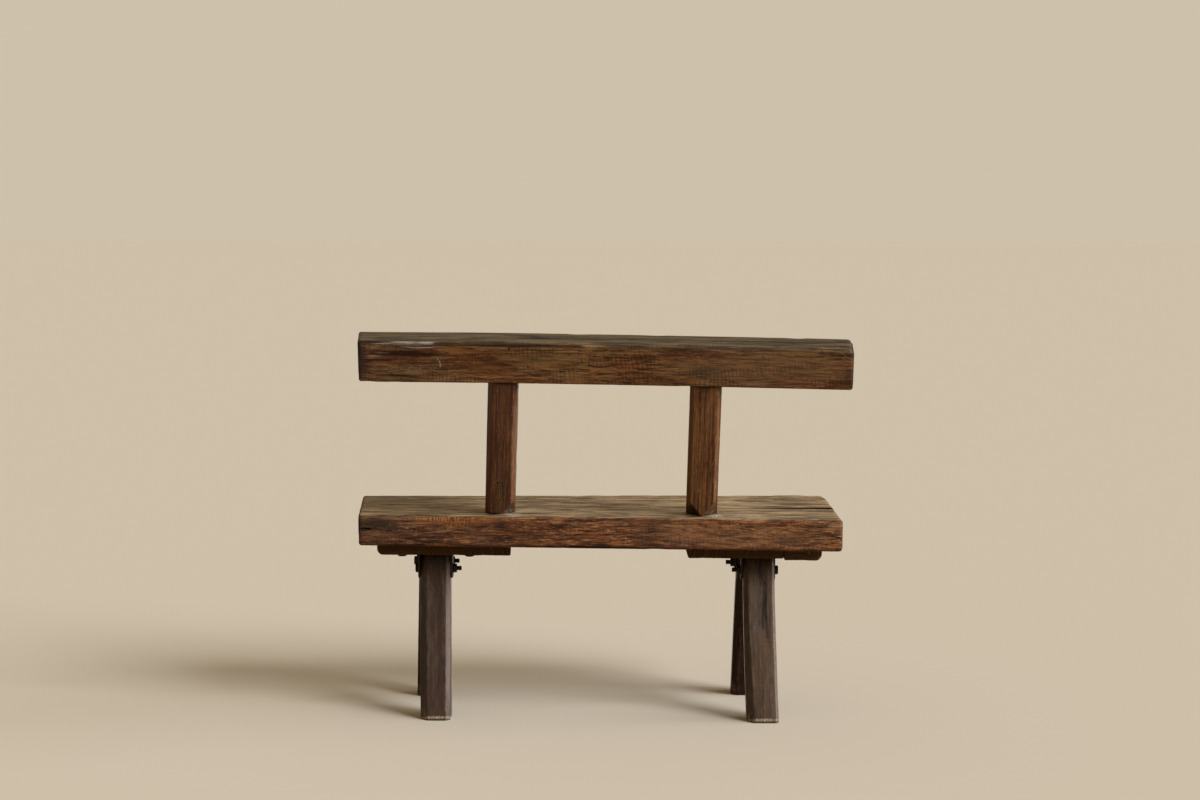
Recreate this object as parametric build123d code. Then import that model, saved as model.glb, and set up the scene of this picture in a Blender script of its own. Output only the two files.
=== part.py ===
from build123d import *
from collections import namedtuple
from math import cos, radians, sin, tan
import os

# Timber bench with a leaning back: a plank seat on two A-shaped pairs of legs, held by steel brackets.
# Millimetres. +X runs along the bench, +Z is up, and the back stands on the -Y side of the seat.
# The finished bench is moved so that the origin lies at the middle of its box, on the floor.

# Seat slab, a plank that is deeper at its right end, with both ends cut a little out of square
SEAT_HEIGHT = 440.0
SEAT_LENGTH = 1023.0
SEAT_THICKNESS = 66.0
SEAT_DEPTH_LEFT = 286.0
SEAT_DEPTH_RIGHT = 378.0
SEAT_SKEW_LEFT = 24.0
SEAT_SKEW_RIGHT = 12.0
SEAT_CORNER_ROUND = 10.0
SEAT_EDGE_ROUND = 4.0

# Bearer boards under the seat, set in from its ends
BEARER_LENGTH = 287.0
BEARER_THICKNESS = 26.0
BEARER_DEPTH_LEFT = 214.0
BEARER_DEPTH_RIGHT = 250.0
BEARER_INSET = 37.0
BEARER_ROUND = 12.0
BEARER_BEVEL = 7.0

# Legs: a level section of width along X and depth along Y, straight between the brackets, then spreading
LEG_WIDTH = 66.0
LEG_DEPTH = 60.0
LEG_CHAMFER = 13.0
LEG_STRAIGHT = 66.0
LEG_FOOT_WIDTH = 68.0
LEG_FOOT_CHAMFER = 3.0
LEG_TOP_OFFSET = 39.5

# Where each leg's top stands along X from the middle of its bearer, how far its foot kicks along X,
# and how far it spreads along Y
BACK_LEFT_LEG_X = -22.0
BACK_LEFT_LEG_KICK = 7.5
BACK_LEFT_LEG_SPREAD = 90.0
BACK_RIGHT_LEG_X = 11.0
BACK_RIGHT_LEG_KICK = 8.0
BACK_RIGHT_LEG_SPREAD = 93.0
FRONT_LEFT_LEG_X = -34.0
FRONT_LEFT_LEG_KICK = -9.0
FRONT_LEFT_LEG_SPREAD = 62.5
FRONT_RIGHT_LEG_X = 1.0
FRONT_RIGHT_LEG_KICK = -6.0
FRONT_RIGHT_LEG_SPREAD = 96.5

# Steel angle brackets, one on each side of a leg's top: an arm down the leg and a flange under the bearer
BRACKET_THICKNESS = 4.0
BRACKET_WIDTH = 40.0
BRACKET_ARM = 57.0
BRACKET_FLANGE = 60.0
BRACKET_CORNER = 12.0
BRACKET_BEND = 3.0

# Hexagon bolts through the leg tops, with their nuts, and lag screws through the bracket flanges
BOLT_DIAMETER = 10.0
BOLT_DROP = 37.0
BOLT_STICK_OUT = 10.0
HEX_ACROSS_FLATS = 17.0
HEX_EDGE_CHAMFER = 0.8
HEAD_HEIGHT = 7.0
NUT_HEIGHT = 8.5
LAG_REACH = 40.0
LAG_BITE = 45.0
LAG_POINT = 8.0
HOLE_CLEARANCE = 0.5
THREAD_CLEARANCE = 0.1
LAG_END_GAP = 2.0

# The back leans away from the seat and is turned a little in plan. Its posts stand on this turned line,
# each leaning sideways by its own tilt.
BACK_LEAN = 13.5
BACK_TURN = 2.0
POST_SETBACK = 34.0
POST_DEPTH = 55.0
POST_CHAMFER = 12.0
LEFT_POST_WIDTH = 63.0
LEFT_POST_X = -211.5
LEFT_POST_TILT = 2.7
RIGHT_POST_WIDTH = 66.0
RIGHT_POST_X = 218.0
RIGHT_POST_TILT = 1.75

# Back rail on the posts, measured along the leaning back
RAIL_LENGTH = 1029.0
RAIL_HEIGHT = 87.5
RAIL_THICKNESS = 67.0
RAIL_RISE = 293.0
RAIL_OFFSET = 16.0
RAIL_SLOPE = 0.58
RAIL_END_ROUND = 8.0
RAIL_EDGE_ROUND = 4.0

# Tenons at both ends of a post, blind in the seat and in the rail
TENON_WIDTH = 38.0
TENON_THICKNESS = 26.0
SEAT_TENON = 48.0
RAIL_TENON = 50.0
TENON_CLEARANCE = 0.25
TENON_END_GAP = 2.0
TENON_CHAMFER = 2.0

SEAT_UNDERSIDE = SEAT_HEIGHT - SEAT_THICKNESS
BEARER_UNDERSIDE = SEAT_UNDERSIDE - BEARER_THICKNESS
BEARER_OUTER_END = SEAT_LENGTH / 2 - BEARER_INSET
BEARER_MIDDLE = BEARER_OUTER_END - BEARER_LENGTH / 2
BOLT_HEIGHT = BEARER_UNDERSIDE - BOLT_DROP
BOLT_GRIP = LEG_WIDTH + 2 * BRACKET_THICKNESS
HOLE_RADIUS = BOLT_DIAMETER / 2 + HOLE_CLEARANCE
ROOM = SEAT_LENGTH + SEAT_HEIGHT + RAIL_LENGTH

LEFT_LEGS = -BEARER_MIDDLE
RIGHT_LEGS = BEARER_MIDDLE
Leg = namedtuple("Leg", "name side facing x kick spread")
LEGS = [
    Leg("back_left", -1, -1, LEFT_LEGS + BACK_LEFT_LEG_X, BACK_LEFT_LEG_KICK, BACK_LEFT_LEG_SPREAD),
    Leg("back_right", 1, -1, RIGHT_LEGS + BACK_RIGHT_LEG_X, BACK_RIGHT_LEG_KICK, BACK_RIGHT_LEG_SPREAD),
    Leg("front_left", -1, 1, LEFT_LEGS + FRONT_LEFT_LEG_X, FRONT_LEFT_LEG_KICK, FRONT_LEFT_LEG_SPREAD),
    Leg("front_right", 1, 1, RIGHT_LEGS + FRONT_RIGHT_LEG_X, FRONT_RIGHT_LEG_KICK, FRONT_RIGHT_LEG_SPREAD),
]
SIDES = {"left": -1, "right": 1}

# The plane of the back: X along its line, Y from back to front through the posts, Z up its lean
BACK_X = (cos(radians(BACK_TURN)), -sin(radians(BACK_TURN)), 0)
BACK_Z = (
    -sin(radians(BACK_TURN)) * sin(radians(BACK_LEAN)),
    -cos(radians(BACK_TURN)) * sin(radians(BACK_LEAN)),
    cos(radians(BACK_LEAN)),
)
BACK_FOOT_Y = POST_SETBACK - (SEAT_DEPTH_LEFT + SEAT_DEPTH_RIGHT) / 4
BACK = Plane(origin=(0, BACK_FOOT_Y, SEAT_HEIGHT), x_dir=BACK_X, z_dir=BACK_Z).location


def leg_y(leg, height):
    """Where a leg's centre lies along Y at a height above the floor."""
    drop = (BEARER_UNDERSIDE - height) / BEARER_UNDERSIDE
    return leg.facing * (LEG_TOP_OFFSET + leg.spread * drop)


def leg_side(leg, side):
    """The X of the flat side of a leg's straight top, on its left (-1) or right (1)."""
    return leg.x + side * LEG_WIDTH / 2


def lag_places():
    """The axis of every lag screw, as a list of X and Y."""
    return [
        (leg_side(leg, side) + side * LAG_REACH, leg_y(leg, BOLT_HEIGHT))
        for leg in LEGS
        for side in SIDES.values()
    ]


def rod(radius, length, place):
    """A round bar that starts at a place and runs along its Z."""
    return place * Cylinder(radius, length, align=(Align.CENTER, Align.CENTER, Align.MIN))


def hexagon(height):
    """A hexagon prism from the floor up, its outer rim eased at the far end, as on a forged head."""
    flats = RegularPolygon(HEX_ACROSS_FLATS / 2, 6, major_radius=False)
    prism = extrude(flats, height)
    return chamfer(prism.faces().sort_by(Axis.Z)[-1].edges(), HEX_EDGE_CHAMFER)


def tenon(width, thickness, low, high):
    """A tenon along a post's own Z, from low to high."""
    bar = Box(width, thickness, high - low, align=(Align.CENTER, Align.CENTER, Align.MIN))
    return Pos(0, 0, low) * bar


def post_frame(side):
    """A post's own frame, at the middle of its foot, with Z up the post."""
    along = {-1: LEFT_POST_X, 1: RIGHT_POST_X}[side]
    tilt = {-1: LEFT_POST_TILT, 1: RIGHT_POST_TILT}[side]
    return BACK * Location((along, POST_DEPTH / 2, 0), (0, tilt, 0))


def rail_frame():
    """The rail's own frame, at the middle of its underside, with X along the rail."""
    rise = RAIL_RISE - RAIL_OFFSET * tan(radians(RAIL_SLOPE))
    return BACK * Location((RAIL_OFFSET, POST_DEPTH / 2, rise), (0, RAIL_SLOPE, 0))


def post_length(side):
    """The length of a post along its axis, from the seat to the rail's underside."""
    along = {-1: LEFT_POST_X, 1: RIGHT_POST_X}[side]
    tilt = {-1: LEFT_POST_TILT, 1: RIGHT_POST_TILT}[side]
    rise = RAIL_RISE - along * tan(radians(RAIL_SLOPE))
    return rise / (cos(radians(tilt)) * (1 + tan(radians(tilt)) * tan(radians(RAIL_SLOPE))))


def seat_mortise(side):
    """The room that a post's lower tenon takes in the seat."""
    grow = 2 * TENON_CLEARANCE
    room = tenon(TENON_WIDTH + grow, TENON_THICKNESS + grow, -SEAT_TENON - TENON_END_GAP, SEAT_TENON)
    return post_frame(side) * room


def rail_mortise(side):
    """The room that a post's upper tenon takes in the rail."""
    grow = 2 * TENON_CLEARANCE
    length = post_length(side)
    high = length + RAIL_TENON + TENON_END_GAP
    return post_frame(side) * tenon(TENON_WIDTH + grow, TENON_THICKNESS + grow, length - RAIL_TENON, high)


def seat_slab():
    """The seat plank, with the posts' mortises above and the lag screws' holes below."""
    back_left = (-SEAT_LENGTH / 2, -SEAT_DEPTH_LEFT / 2)
    back_right = (SEAT_LENGTH / 2, -SEAT_DEPTH_RIGHT / 2)
    front_right = (SEAT_LENGTH / 2 - SEAT_SKEW_RIGHT, SEAT_DEPTH_RIGHT / 2)
    front_left = (-SEAT_LENGTH / 2 - SEAT_SKEW_LEFT, SEAT_DEPTH_LEFT / 2)
    outline = make_face(Polyline(back_left, back_right, front_right, front_left, close=True))
    slab = extrude(Pos(0, 0, SEAT_UNDERSIDE) * outline, SEAT_THICKNESS)
    slab = fillet(slab.edges().filter_by(Axis.Z), SEAT_CORNER_ROUND)
    rims = slab.faces().sort_by(Axis.Z)
    slab = fillet(rims[0].edges() + rims[-1].edges(), SEAT_EDGE_ROUND)
    for side in SIDES.values():
        slab -= seat_mortise(side)
    for x, y in lag_places():
        slab -= rod(BOLT_DIAMETER / 2 + THREAD_CLEARANCE, LAG_BITE + LAG_END_GAP, Pos(x, y, SEAT_UNDERSIDE))
    return slab


def bearer(side):
    """A board under one end of the seat, rounded below at its outer end."""
    depth = {-1: BEARER_DEPTH_LEFT, 1: BEARER_DEPTH_RIGHT}[side]
    bevel = {-1: 0.0, 1: BEARER_BEVEL}[side]
    outer = BEARER_OUTER_END
    inner = outer - BEARER_LENGTH
    low = -BEARER_THICKNESS
    profile = make_face(Polyline((inner, 0), (outer, 0), (outer, low), (inner + bevel, low), close=True))
    lower_end = profile.vertices().sort_by_distance((outer, low, 0))[0]
    profile = fillet(lower_end, BEARER_ROUND)
    board = extrude(Plane.XZ * profile, depth / 2, both=True)
    if side < 0:
        board = mirror(board, Plane.YZ)
    board = Pos(0, 0, SEAT_UNDERSIDE) * board
    for x, y in lag_places():
        if x * side > 0:
            board -= rod(HOLE_RADIUS, BEARER_THICKNESS, Pos(x, y, BEARER_UNDERSIDE))
    return board


def leg_section(leg, height, width, x):
    """A level section through a leg, with its corners cut off."""
    outline = Rectangle(width, LEG_DEPTH)
    outline = chamfer(outline.vertices(), LEG_CHAMFER)
    return Pos(x, leg_y(leg, height), height) * outline


def leg_timber(leg):
    """One leg, straight between its brackets and then spreading to a flat foot, with its bolt hole."""
    bend = BEARER_UNDERSIDE - LEG_STRAIGHT
    top = leg_section(leg, BEARER_UNDERSIDE, LEG_WIDTH, leg.x)
    middle = leg_section(leg, bend, LEG_WIDTH, leg.x)
    foot = leg_section(leg, 0, LEG_FOOT_WIDTH, leg.x + leg.kick)
    timber = loft([top, middle], ruled=True) + loft([middle, foot], ruled=True)
    timber = chamfer(timber.faces().sort_by(Axis.Z)[0].edges(), LEG_FOOT_CHAMFER)
    start = Location((leg_side(leg, -1), leg_y(leg, BOLT_HEIGHT), BOLT_HEIGHT), (0, 90, 0))
    return timber - rod(HOLE_RADIUS, LEG_WIDTH, start)


def bracket(leg, side):
    """An angle bracket on the left (-1) or right (1) side of a leg's top."""
    t = BRACKET_THICKNESS
    corners = [(0, 0), (BRACKET_FLANGE, 0), (BRACKET_FLANGE, -t), (t, -t), (t, -BRACKET_ARM), (0, -BRACKET_ARM)]
    profile = make_face(Polyline(*corners, close=True))
    profile = fillet(profile.vertices().sort_by_distance((0, 0, 0))[0], BRACKET_BEND + t)
    profile = fillet(profile.vertices().sort_by_distance((t, -t, 0))[0], BRACKET_BEND)
    angle = extrude(Plane.XZ * profile, BRACKET_WIDTH / 2, both=True)
    arm_end = angle.faces().sort_by(Axis.Z)[0]
    angle = fillet(arm_end.edges().filter_by(Axis.X), BRACKET_CORNER)
    flange_end = angle.faces().sort_by(Axis.X)[-1]
    angle = fillet(flange_end.edges().filter_by(Axis.Z), BRACKET_CORNER)
    angle -= rod(HOLE_RADIUS, t, Location((0, 0, -BOLT_DROP), (0, 90, 0)))
    angle -= rod(HOLE_RADIUS, t, Pos(LAG_REACH, 0, -t))
    if side < 0:
        angle = mirror(angle, Plane.YZ)
    return Pos(leg_side(leg, side), leg_y(leg, BOLT_HEIGHT), BEARER_UNDERSIDE) * angle


def bolt_frame(leg):
    """Under a leg bolt's head, outboard of the leg, with Z along the bolt towards the bench's middle."""
    outside = leg_side(leg, leg.side) + leg.side * BRACKET_THICKNESS
    return Location((outside, leg_y(leg, BOLT_HEIGHT), BOLT_HEIGHT), (0, -90 * leg.side, 0))


def leg_bolt(leg):
    """The bolt through a leg's top and its two brackets."""
    length = BOLT_GRIP + NUT_HEIGHT + BOLT_STICK_OUT
    shank = rod(BOLT_DIAMETER / 2, length, Pos(0, 0, 0))
    shank = chamfer(shank.edges().group_by(Axis.Z)[-1], HEX_EDGE_CHAMFER)
    return bolt_frame(leg) * (shank + Rot(180, 0, 0) * hexagon(HEAD_HEIGHT))


def leg_nut(leg):
    """The nut on a leg bolt, against the inboard bracket."""
    nut = hexagon(NUT_HEIGHT) - rod(BOLT_DIAMETER / 2 + THREAD_CLEARANCE, NUT_HEIGHT, Pos(0, 0, 0))
    return bolt_frame(leg) * Pos(0, 0, BOLT_GRIP) * nut


def lag_screw(x, y):
    """A lag screw up through a bracket's flange and the bearer into the seat."""
    length = BRACKET_THICKNESS + BEARER_THICKNESS + LAG_BITE
    shank = rod(BOLT_DIAMETER / 2, length - LAG_POINT, Pos(0, 0, 0))
    point = Cone(BOLT_DIAMETER / 2, BOLT_DIAMETER / 8, LAG_POINT, align=(Align.CENTER, Align.CENTER, Align.MIN))
    screw = shank + Pos(0, 0, length - LAG_POINT) * point + Rot(180, 0, 0) * hexagon(HEAD_HEIGHT)
    return Pos(x, y, BEARER_UNDERSIDE - BRACKET_THICKNESS) * screw


def back_post(side):
    """A leaning post, cut level on the seat and to the rail above, with a tenon at each end."""
    width = {-1: LEFT_POST_WIDTH, 1: RIGHT_POST_WIDTH}[side]
    length = post_length(side)
    spare = width + POST_DEPTH
    bar = Box(width, POST_DEPTH, length + 2 * spare, align=(Align.CENTER, Align.CENTER, Align.MIN))
    bar = chamfer(bar.edges().filter_by(Axis.Z), POST_CHAMFER)
    post = post_frame(side) * Pos(0, 0, -spare) * bar
    post -= Pos(0, 0, SEAT_HEIGHT) * Box(ROOM, ROOM, ROOM, align=(Align.CENTER, Align.CENTER, Align.MAX))
    post -= rail_frame() * Box(ROOM, ROOM, ROOM, align=(Align.CENTER, Align.CENTER, Align.MIN))
    core = tenon(TENON_WIDTH, TENON_THICKNESS, -SEAT_TENON, length + RAIL_TENON)
    ends = core.faces().sort_by(Axis.Z)
    core = chamfer(ends[0].edges() + ends[-1].edges(), TENON_CHAMFER)
    return post + post_frame(side) * core


def back_rail():
    """The rail, eased at its corners and edges, with a mortise for each post."""
    profile = Plane.XZ * Pos(0, RAIL_HEIGHT / 2) * RectangleRounded(RAIL_LENGTH, RAIL_HEIGHT, RAIL_END_ROUND)
    rail = extrude(profile, RAIL_THICKNESS / 2, both=True)
    broad = rail.faces().sort_by(Axis.Y)
    rail = rail_frame() * fillet(broad[0].edges() + broad[-1].edges(), RAIL_EDGE_ROUND)
    for side in SIDES.values():
        rail -= rail_mortise(side)
    return rail


def bench():
    """Every piece of the bench by its node's name."""
    pieces = {"seat_slab": seat_slab(), "back_rail": back_rail()}
    for word, side in SIDES.items():
        pieces[f"back_post_{word}"] = back_post(side)
        pieces[f"bearer_{word}"] = bearer(side)
    for leg in LEGS:
        pieces[f"leg_{leg.name}"] = leg_timber(leg)
        pieces[f"leg_bolt_{leg.name}"] = leg_bolt(leg)
        pieces[f"leg_nut_{leg.name}"] = leg_nut(leg)
        for side in SIDES.values():
            place = "outer" if side == leg.side else "inner"
            pieces[f"bracket_{leg.name}_{place}"] = bracket(leg, side)
            x = leg_side(leg, side) + side * LAG_REACH
            pieces[f"lag_screw_{leg.name}_{place}"] = lag_screw(x, leg_y(leg, BOLT_HEIGHT))
    return pieces


def centred(pieces):
    """The same pieces, moved so that the origin is at the middle of their box, on the floor."""
    boxes = [piece.bounding_box() for piece in pieces.values()]
    low = [min(tuple(box.min)[axis] for box in boxes) for axis in range(3)]
    high = [max(tuple(box.max)[axis] for box in boxes) for axis in range(3)]
    shift = Pos(-(low[0] + high[0]) / 2, -(low[1] + high[1]) / 2, -low[2])
    return {name: shift * piece for name, piece in pieces.items()}


os.makedirs("parts", exist_ok=True)
for node, shape in centred(bench()).items():
    export_step(shape, f"parts/{node}.step")
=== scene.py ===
"""Looks of a rustic timber bench: worn planks, chamfered legs and dark steel fixings.

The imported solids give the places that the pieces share. Each timber is lofted along its own grain,
worn by noise, cut by cracks, chips and nail holes, and finished by shared shader node groups.
Lengths are metres and angles are degrees. The bench's back, where the rail leans out, faces -Y.
"""

import logging
import math
from collections.abc import Callable, Mapping, Sequence
from dataclasses import dataclass, field, replace
from enum import Enum
from typing import Any

import bmesh
import bpy
import numpy as np
from bpy.types import ID, Material, Mesh, Node, NodeInputs, NodeOutputs, NodeSocket, NodeTree, Object, Scene
from mathutils import Matrix, Vector, noise


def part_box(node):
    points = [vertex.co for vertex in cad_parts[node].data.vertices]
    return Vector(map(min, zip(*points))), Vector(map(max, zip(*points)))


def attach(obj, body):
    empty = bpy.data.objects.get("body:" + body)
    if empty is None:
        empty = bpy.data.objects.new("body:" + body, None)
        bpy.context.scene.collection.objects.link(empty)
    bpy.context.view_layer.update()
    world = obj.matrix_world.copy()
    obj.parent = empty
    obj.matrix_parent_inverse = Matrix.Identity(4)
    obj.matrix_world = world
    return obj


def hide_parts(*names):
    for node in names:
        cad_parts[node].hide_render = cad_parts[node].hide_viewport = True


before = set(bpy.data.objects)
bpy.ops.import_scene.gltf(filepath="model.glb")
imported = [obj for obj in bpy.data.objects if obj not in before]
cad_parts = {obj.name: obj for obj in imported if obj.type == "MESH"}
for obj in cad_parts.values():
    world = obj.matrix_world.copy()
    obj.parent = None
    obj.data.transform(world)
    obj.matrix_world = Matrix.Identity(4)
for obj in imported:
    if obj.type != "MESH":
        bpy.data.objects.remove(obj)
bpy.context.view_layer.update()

LOG = logging.getLogger("bench")
BODY = "root"

Array = np.ndarray
Point = tuple[float, float, float]
Colour = tuple[int, int, int]
Corners = tuple[float, float, float, float]
LegPatch = tuple[float, float, float, float, Colour, float]
Faces = list[tuple[int, ...]]
Sockets = Mapping[str, NodeSocket]

ORIGIN: Point = (0.0, 0.0, 0.0)
NO_KNOT: Point = (0.0, 0.0, 9.0)
BUMP_DISTANCE = 0.001

# Places that several pieces share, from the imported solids
LEFT_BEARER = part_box("bearer_left")
RIGHT_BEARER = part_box("bearer_right")
BENCH_MIDDLE = Vector((
    (LEFT_BEARER[0].x + RIGHT_BEARER[1].x) / 2,
    (LEFT_BEARER[0].y + LEFT_BEARER[1].y) / 2,
    0.0,
))
SEAT_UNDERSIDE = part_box("seat_slab")[0].z
SEAT_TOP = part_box("seat_slab")[1].z
LEG_TOP = LEFT_BEARER[0].z

# The back's plane: it stands on the seat, turned a little about the upright and leaning out
BACK_SETBACK = 0.034
BACK_TURN = 2.0
BACK_LEAN = 13.5
POST_DEPTH = 0.055
RAIL_RISE = 0.293
RAIL_SLOPE = 0.58

# How finely the timbers are divided
CHAMFER_STEPS = 2
FILLET_STEPS = 3
END_STEPS = 4
LEAST_CHAMFER = 0.0003
EDGE_REACH = 0.006
SHARP_ANGLE = 40.0

CORNER_SIGNS = np.array(((-1, -1), (1, -1), (1, 1), (-1, 1)), float)
SIDE_RUNS = np.array(((1, 0), (0, 1), (-1, 0), (0, -1)), float)


def linear(colour: Colour) -> tuple[float, float, float, float]:
    """Turns an 8-bit screen colour into a linear colour with full alpha."""
    shares = [part / 255 for part in colour]
    return (*(s / 12.92 if s <= 0.04045 else ((s + 0.055) / 1.055) ** 2.4 for s in shares), 1.0)


def grain_noise(points: Array, stretch: Point, seed: float) -> Array:
    """Samples smooth noise that is stretched differently along each axis.

    Args:
        points: Places to sample, one row each.
        stretch: Waves per metre along X, Y and Z.
        seed: Shift that makes one timber differ from the next.

    Returns:
        A value from about -1 to 1 for each place.
    """
    scaled = (points * np.array(stretch) + seed).tolist()
    return np.fromiter((noise.noise(place) for place in scaled), float, len(scaled))


def smoothstep(values: Array, low: float, high: float) -> Array:
    """Eases values from 0 at low to 1 at high."""
    share = np.clip((values - low) / (high - low), 0.0, 1.0)
    return share * share * (3 - 2 * share)


def frame_from(origin: Sequence[float], along: Vector, across: Vector) -> Matrix:
    """Makes a right-handed frame whose X runs along and whose Y runs across.

    Args:
        origin: Where the frame stands.
        along: Direction of its X axis.
        across: Direction near its Y axis.

    Returns:
        The frame as a matrix that takes its own coordinates to the bench's.
    """
    x_axis = along.normalized()
    z_axis = x_axis.cross(across).normalized()
    y_axis = z_axis.cross(x_axis)
    matrix = Matrix((x_axis, y_axis, z_axis)).transposed().to_4x4()
    matrix.translation = Vector(origin)
    return matrix


def transform(matrix: Matrix, points: Array) -> Array:
    """Takes rows of coordinates through a matrix."""
    values = np.array(matrix)
    return points @ values[:3, :3].T + values[:3, 3]


def rotation(degrees: float, axis: str) -> Matrix:
    """Gives a turn about an axis."""
    return Matrix.Rotation(math.radians(degrees), 4, axis)


def back_frame() -> Matrix:
    """Gives the back's plane: X to the right, Y to the bench's front, Z up the posts.

    Returns:
        The frame, as a matrix.
    """
    setback = BENCH_MIDDLE.y + SeatSlab.back_edge_middle() + BACK_SETBACK
    place = Matrix.Translation((BENCH_MIDDLE.x, setback, SEAT_TOP))
    return place @ rotation(-BACK_TURN, "Z") @ rotation(BACK_LEAN, "X")


def link_object(name: str, data: ID) -> Object:
    """Adds an object to the scene.

    Args:
        name: The object's name.
        data: Its mesh, lamp or camera.

    Returns:
        The object.
    """
    made = bpy.data.objects.new(name, data)
    bpy.context.scene.collection.objects.link(made)
    return made


# Lofted timbers


@dataclass(frozen=True)
class Squared:
    """Cross-section of a squared timber, with a chamfer of its own on each corner.

    The corners run anticlockwise from the low end of both axes. Softness rounds the chamfers' own
    edges: 0 leaves them crisp and 1 turns each chamfer into an arc.
    """

    width: float
    height: float
    chamfers: Corners
    softness: float = 0.9

    def inset(self, depth: float) -> "Squared":
        """Draws the whole outline in by a depth.

        Args:
            depth: How far each side moves in.

        Returns:
            The smaller cross-section.
        """
        loss = depth * (2 - math.sqrt(2))
        chamfers = tuple(max(cut - loss, LEAST_CHAMFER) for cut in self.chamfers)
        return replace(self, width=self.width - 2 * depth, height=self.height - 2 * depth, chamfers=chamfers)

    def ring(self, steps: tuple[int, int]) -> tuple[Array, Array]:
        """Walks round the outline, from the middle of the first chamfer.

        Args:
            steps: Number of steps on the flat of the sides that run along each axis.

        Returns:
            The outline's points, and each one's distance from the nearest chamfer's edge.
        """
        corners = CORNER_SIGNS * np.array((self.width, self.height)) / 2
        cuts = np.array(self.chamfers)[:, None]
        starts = corners - np.roll(SIDE_RUNS, 1, axis=0) * cuts
        ends = corners + SIDE_RUNS * cuts
        reaches = np.linalg.norm(ends - starts, axis=1)[:, None] / 2 * self.softness
        slopes = (ends - starts) / np.linalg.norm(ends - starts, axis=1)[:, None]
        middles = (starts + ends) / 2
        points = []
        for side, run in enumerate(SIDE_RUNS):
            following = (side + 1) % len(SIDE_RUNS)
            leave = ends[side] - slopes[side] * reaches[side]
            flat_from = ends[side] + run * reaches[side]
            flat_to = starts[following] - run * reaches[following]
            arrive = starts[following] + slopes[following] * reaches[following]
            points += [
                bend(middles[side], (middles[side] + leave) / 2, leave, CHAMFER_STEPS),
                bend(leave, ends[side], flat_from, FILLET_STEPS),
                bend(flat_from, (flat_from + flat_to) / 2, flat_to, steps[side % 2]),
                bend(flat_to, starts[following], arrive, FILLET_STEPS),
                bend(arrive, (arrive + middles[following]) / 2, middles[following], CHAMFER_STEPS),
            ]
        outline = np.concatenate(points)
        edges = np.concatenate((starts, ends))
        distances = np.linalg.norm(outline[:, None, :] - edges[None, :, :], axis=2).min(axis=1)
        return outline, distances


def bend(start: Array, control: Array, end: Array, steps: int) -> Array:
    """Samples a quadratic curve, without its last point."""
    share = np.arange(steps)[:, None] / steps
    return (1 - share) ** 2 * start + 2 * share * (1 - share) * control + share**2 * end


@dataclass(frozen=True)
class Surface:
    """Points and quads of a lofted timber, with each point's distance from the nearest edge."""

    points: Array
    quads: Array
    edges: Array


@dataclass(frozen=True)
class Billet:
    """A timber lofted along X, from zero to its length, with rounded ends."""

    length: float
    section: Callable[[float], Squared]
    rounds: tuple[float, float]
    grain_step: float = 0.006
    girth_step: float = 0.0019

    def stations(self) -> list[tuple[float, float]]:
        """Lists the rings' places along the grain, each with how far its outline is drawn in.

        Returns:
            Each ring's place and inset.
        """
        first, last = self.rounds
        angles = np.linspace(0, np.pi / 2, END_STEPS + 1)
        start = [(first * (1 - math.cos(a)), first * (1 - math.sin(a))) for a in angles]
        finish = [(self.length - last * (1 - math.cos(a)), last * (1 - math.sin(a))) for a in angles[::-1]]
        count = max(2, round((self.length - first - last) / self.grain_step))
        middle = np.linspace(first, self.length - last, count + 1)[1:-1]
        return start + [(place, 0.0) for place in middle] + finish

    def loft(self) -> Surface:
        """Lofts the rings and closes both ends with a patch of quads.

        Returns:
            The closed surface.
        """
        nominal = self.section(0.5)
        steps = (round(nominal.width / self.girth_step), round(nominal.height / self.girth_step))
        rings, edges = [], []
        for place, drawn in self.stations():
            outline, distances = self.section(place / self.length).inset(drawn).ring(steps)
            rings.append(np.column_stack((np.full(len(outline), place), outline)))
            edges.append(np.minimum(distances, min(place, self.length - place)))
        count = len(rings[0])
        index = np.arange(len(rings) * count).reshape(len(rings), count)
        onward = np.roll(index, -1, axis=1)
        quads = [np.stack((index[:-1], onward[:-1], onward[1:], index[1:]), axis=-1).reshape(-1, 4)]
        sides = [step + 2 * (CHAMFER_STEPS + FILLET_STEPS) for step in steps]
        total = index.size
        for ring, row, outward in ((rings[0], index[0], False), (rings[-1], index[-1], True)):
            inner, patch, inner_edges = close_end(ring, row, sides, total, outward)
            rings.append(inner)
            edges.append(inner_edges)
            quads.append(patch)
            total += len(inner)
        return Surface(np.concatenate(rings), np.concatenate(quads), np.concatenate(edges))


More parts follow.
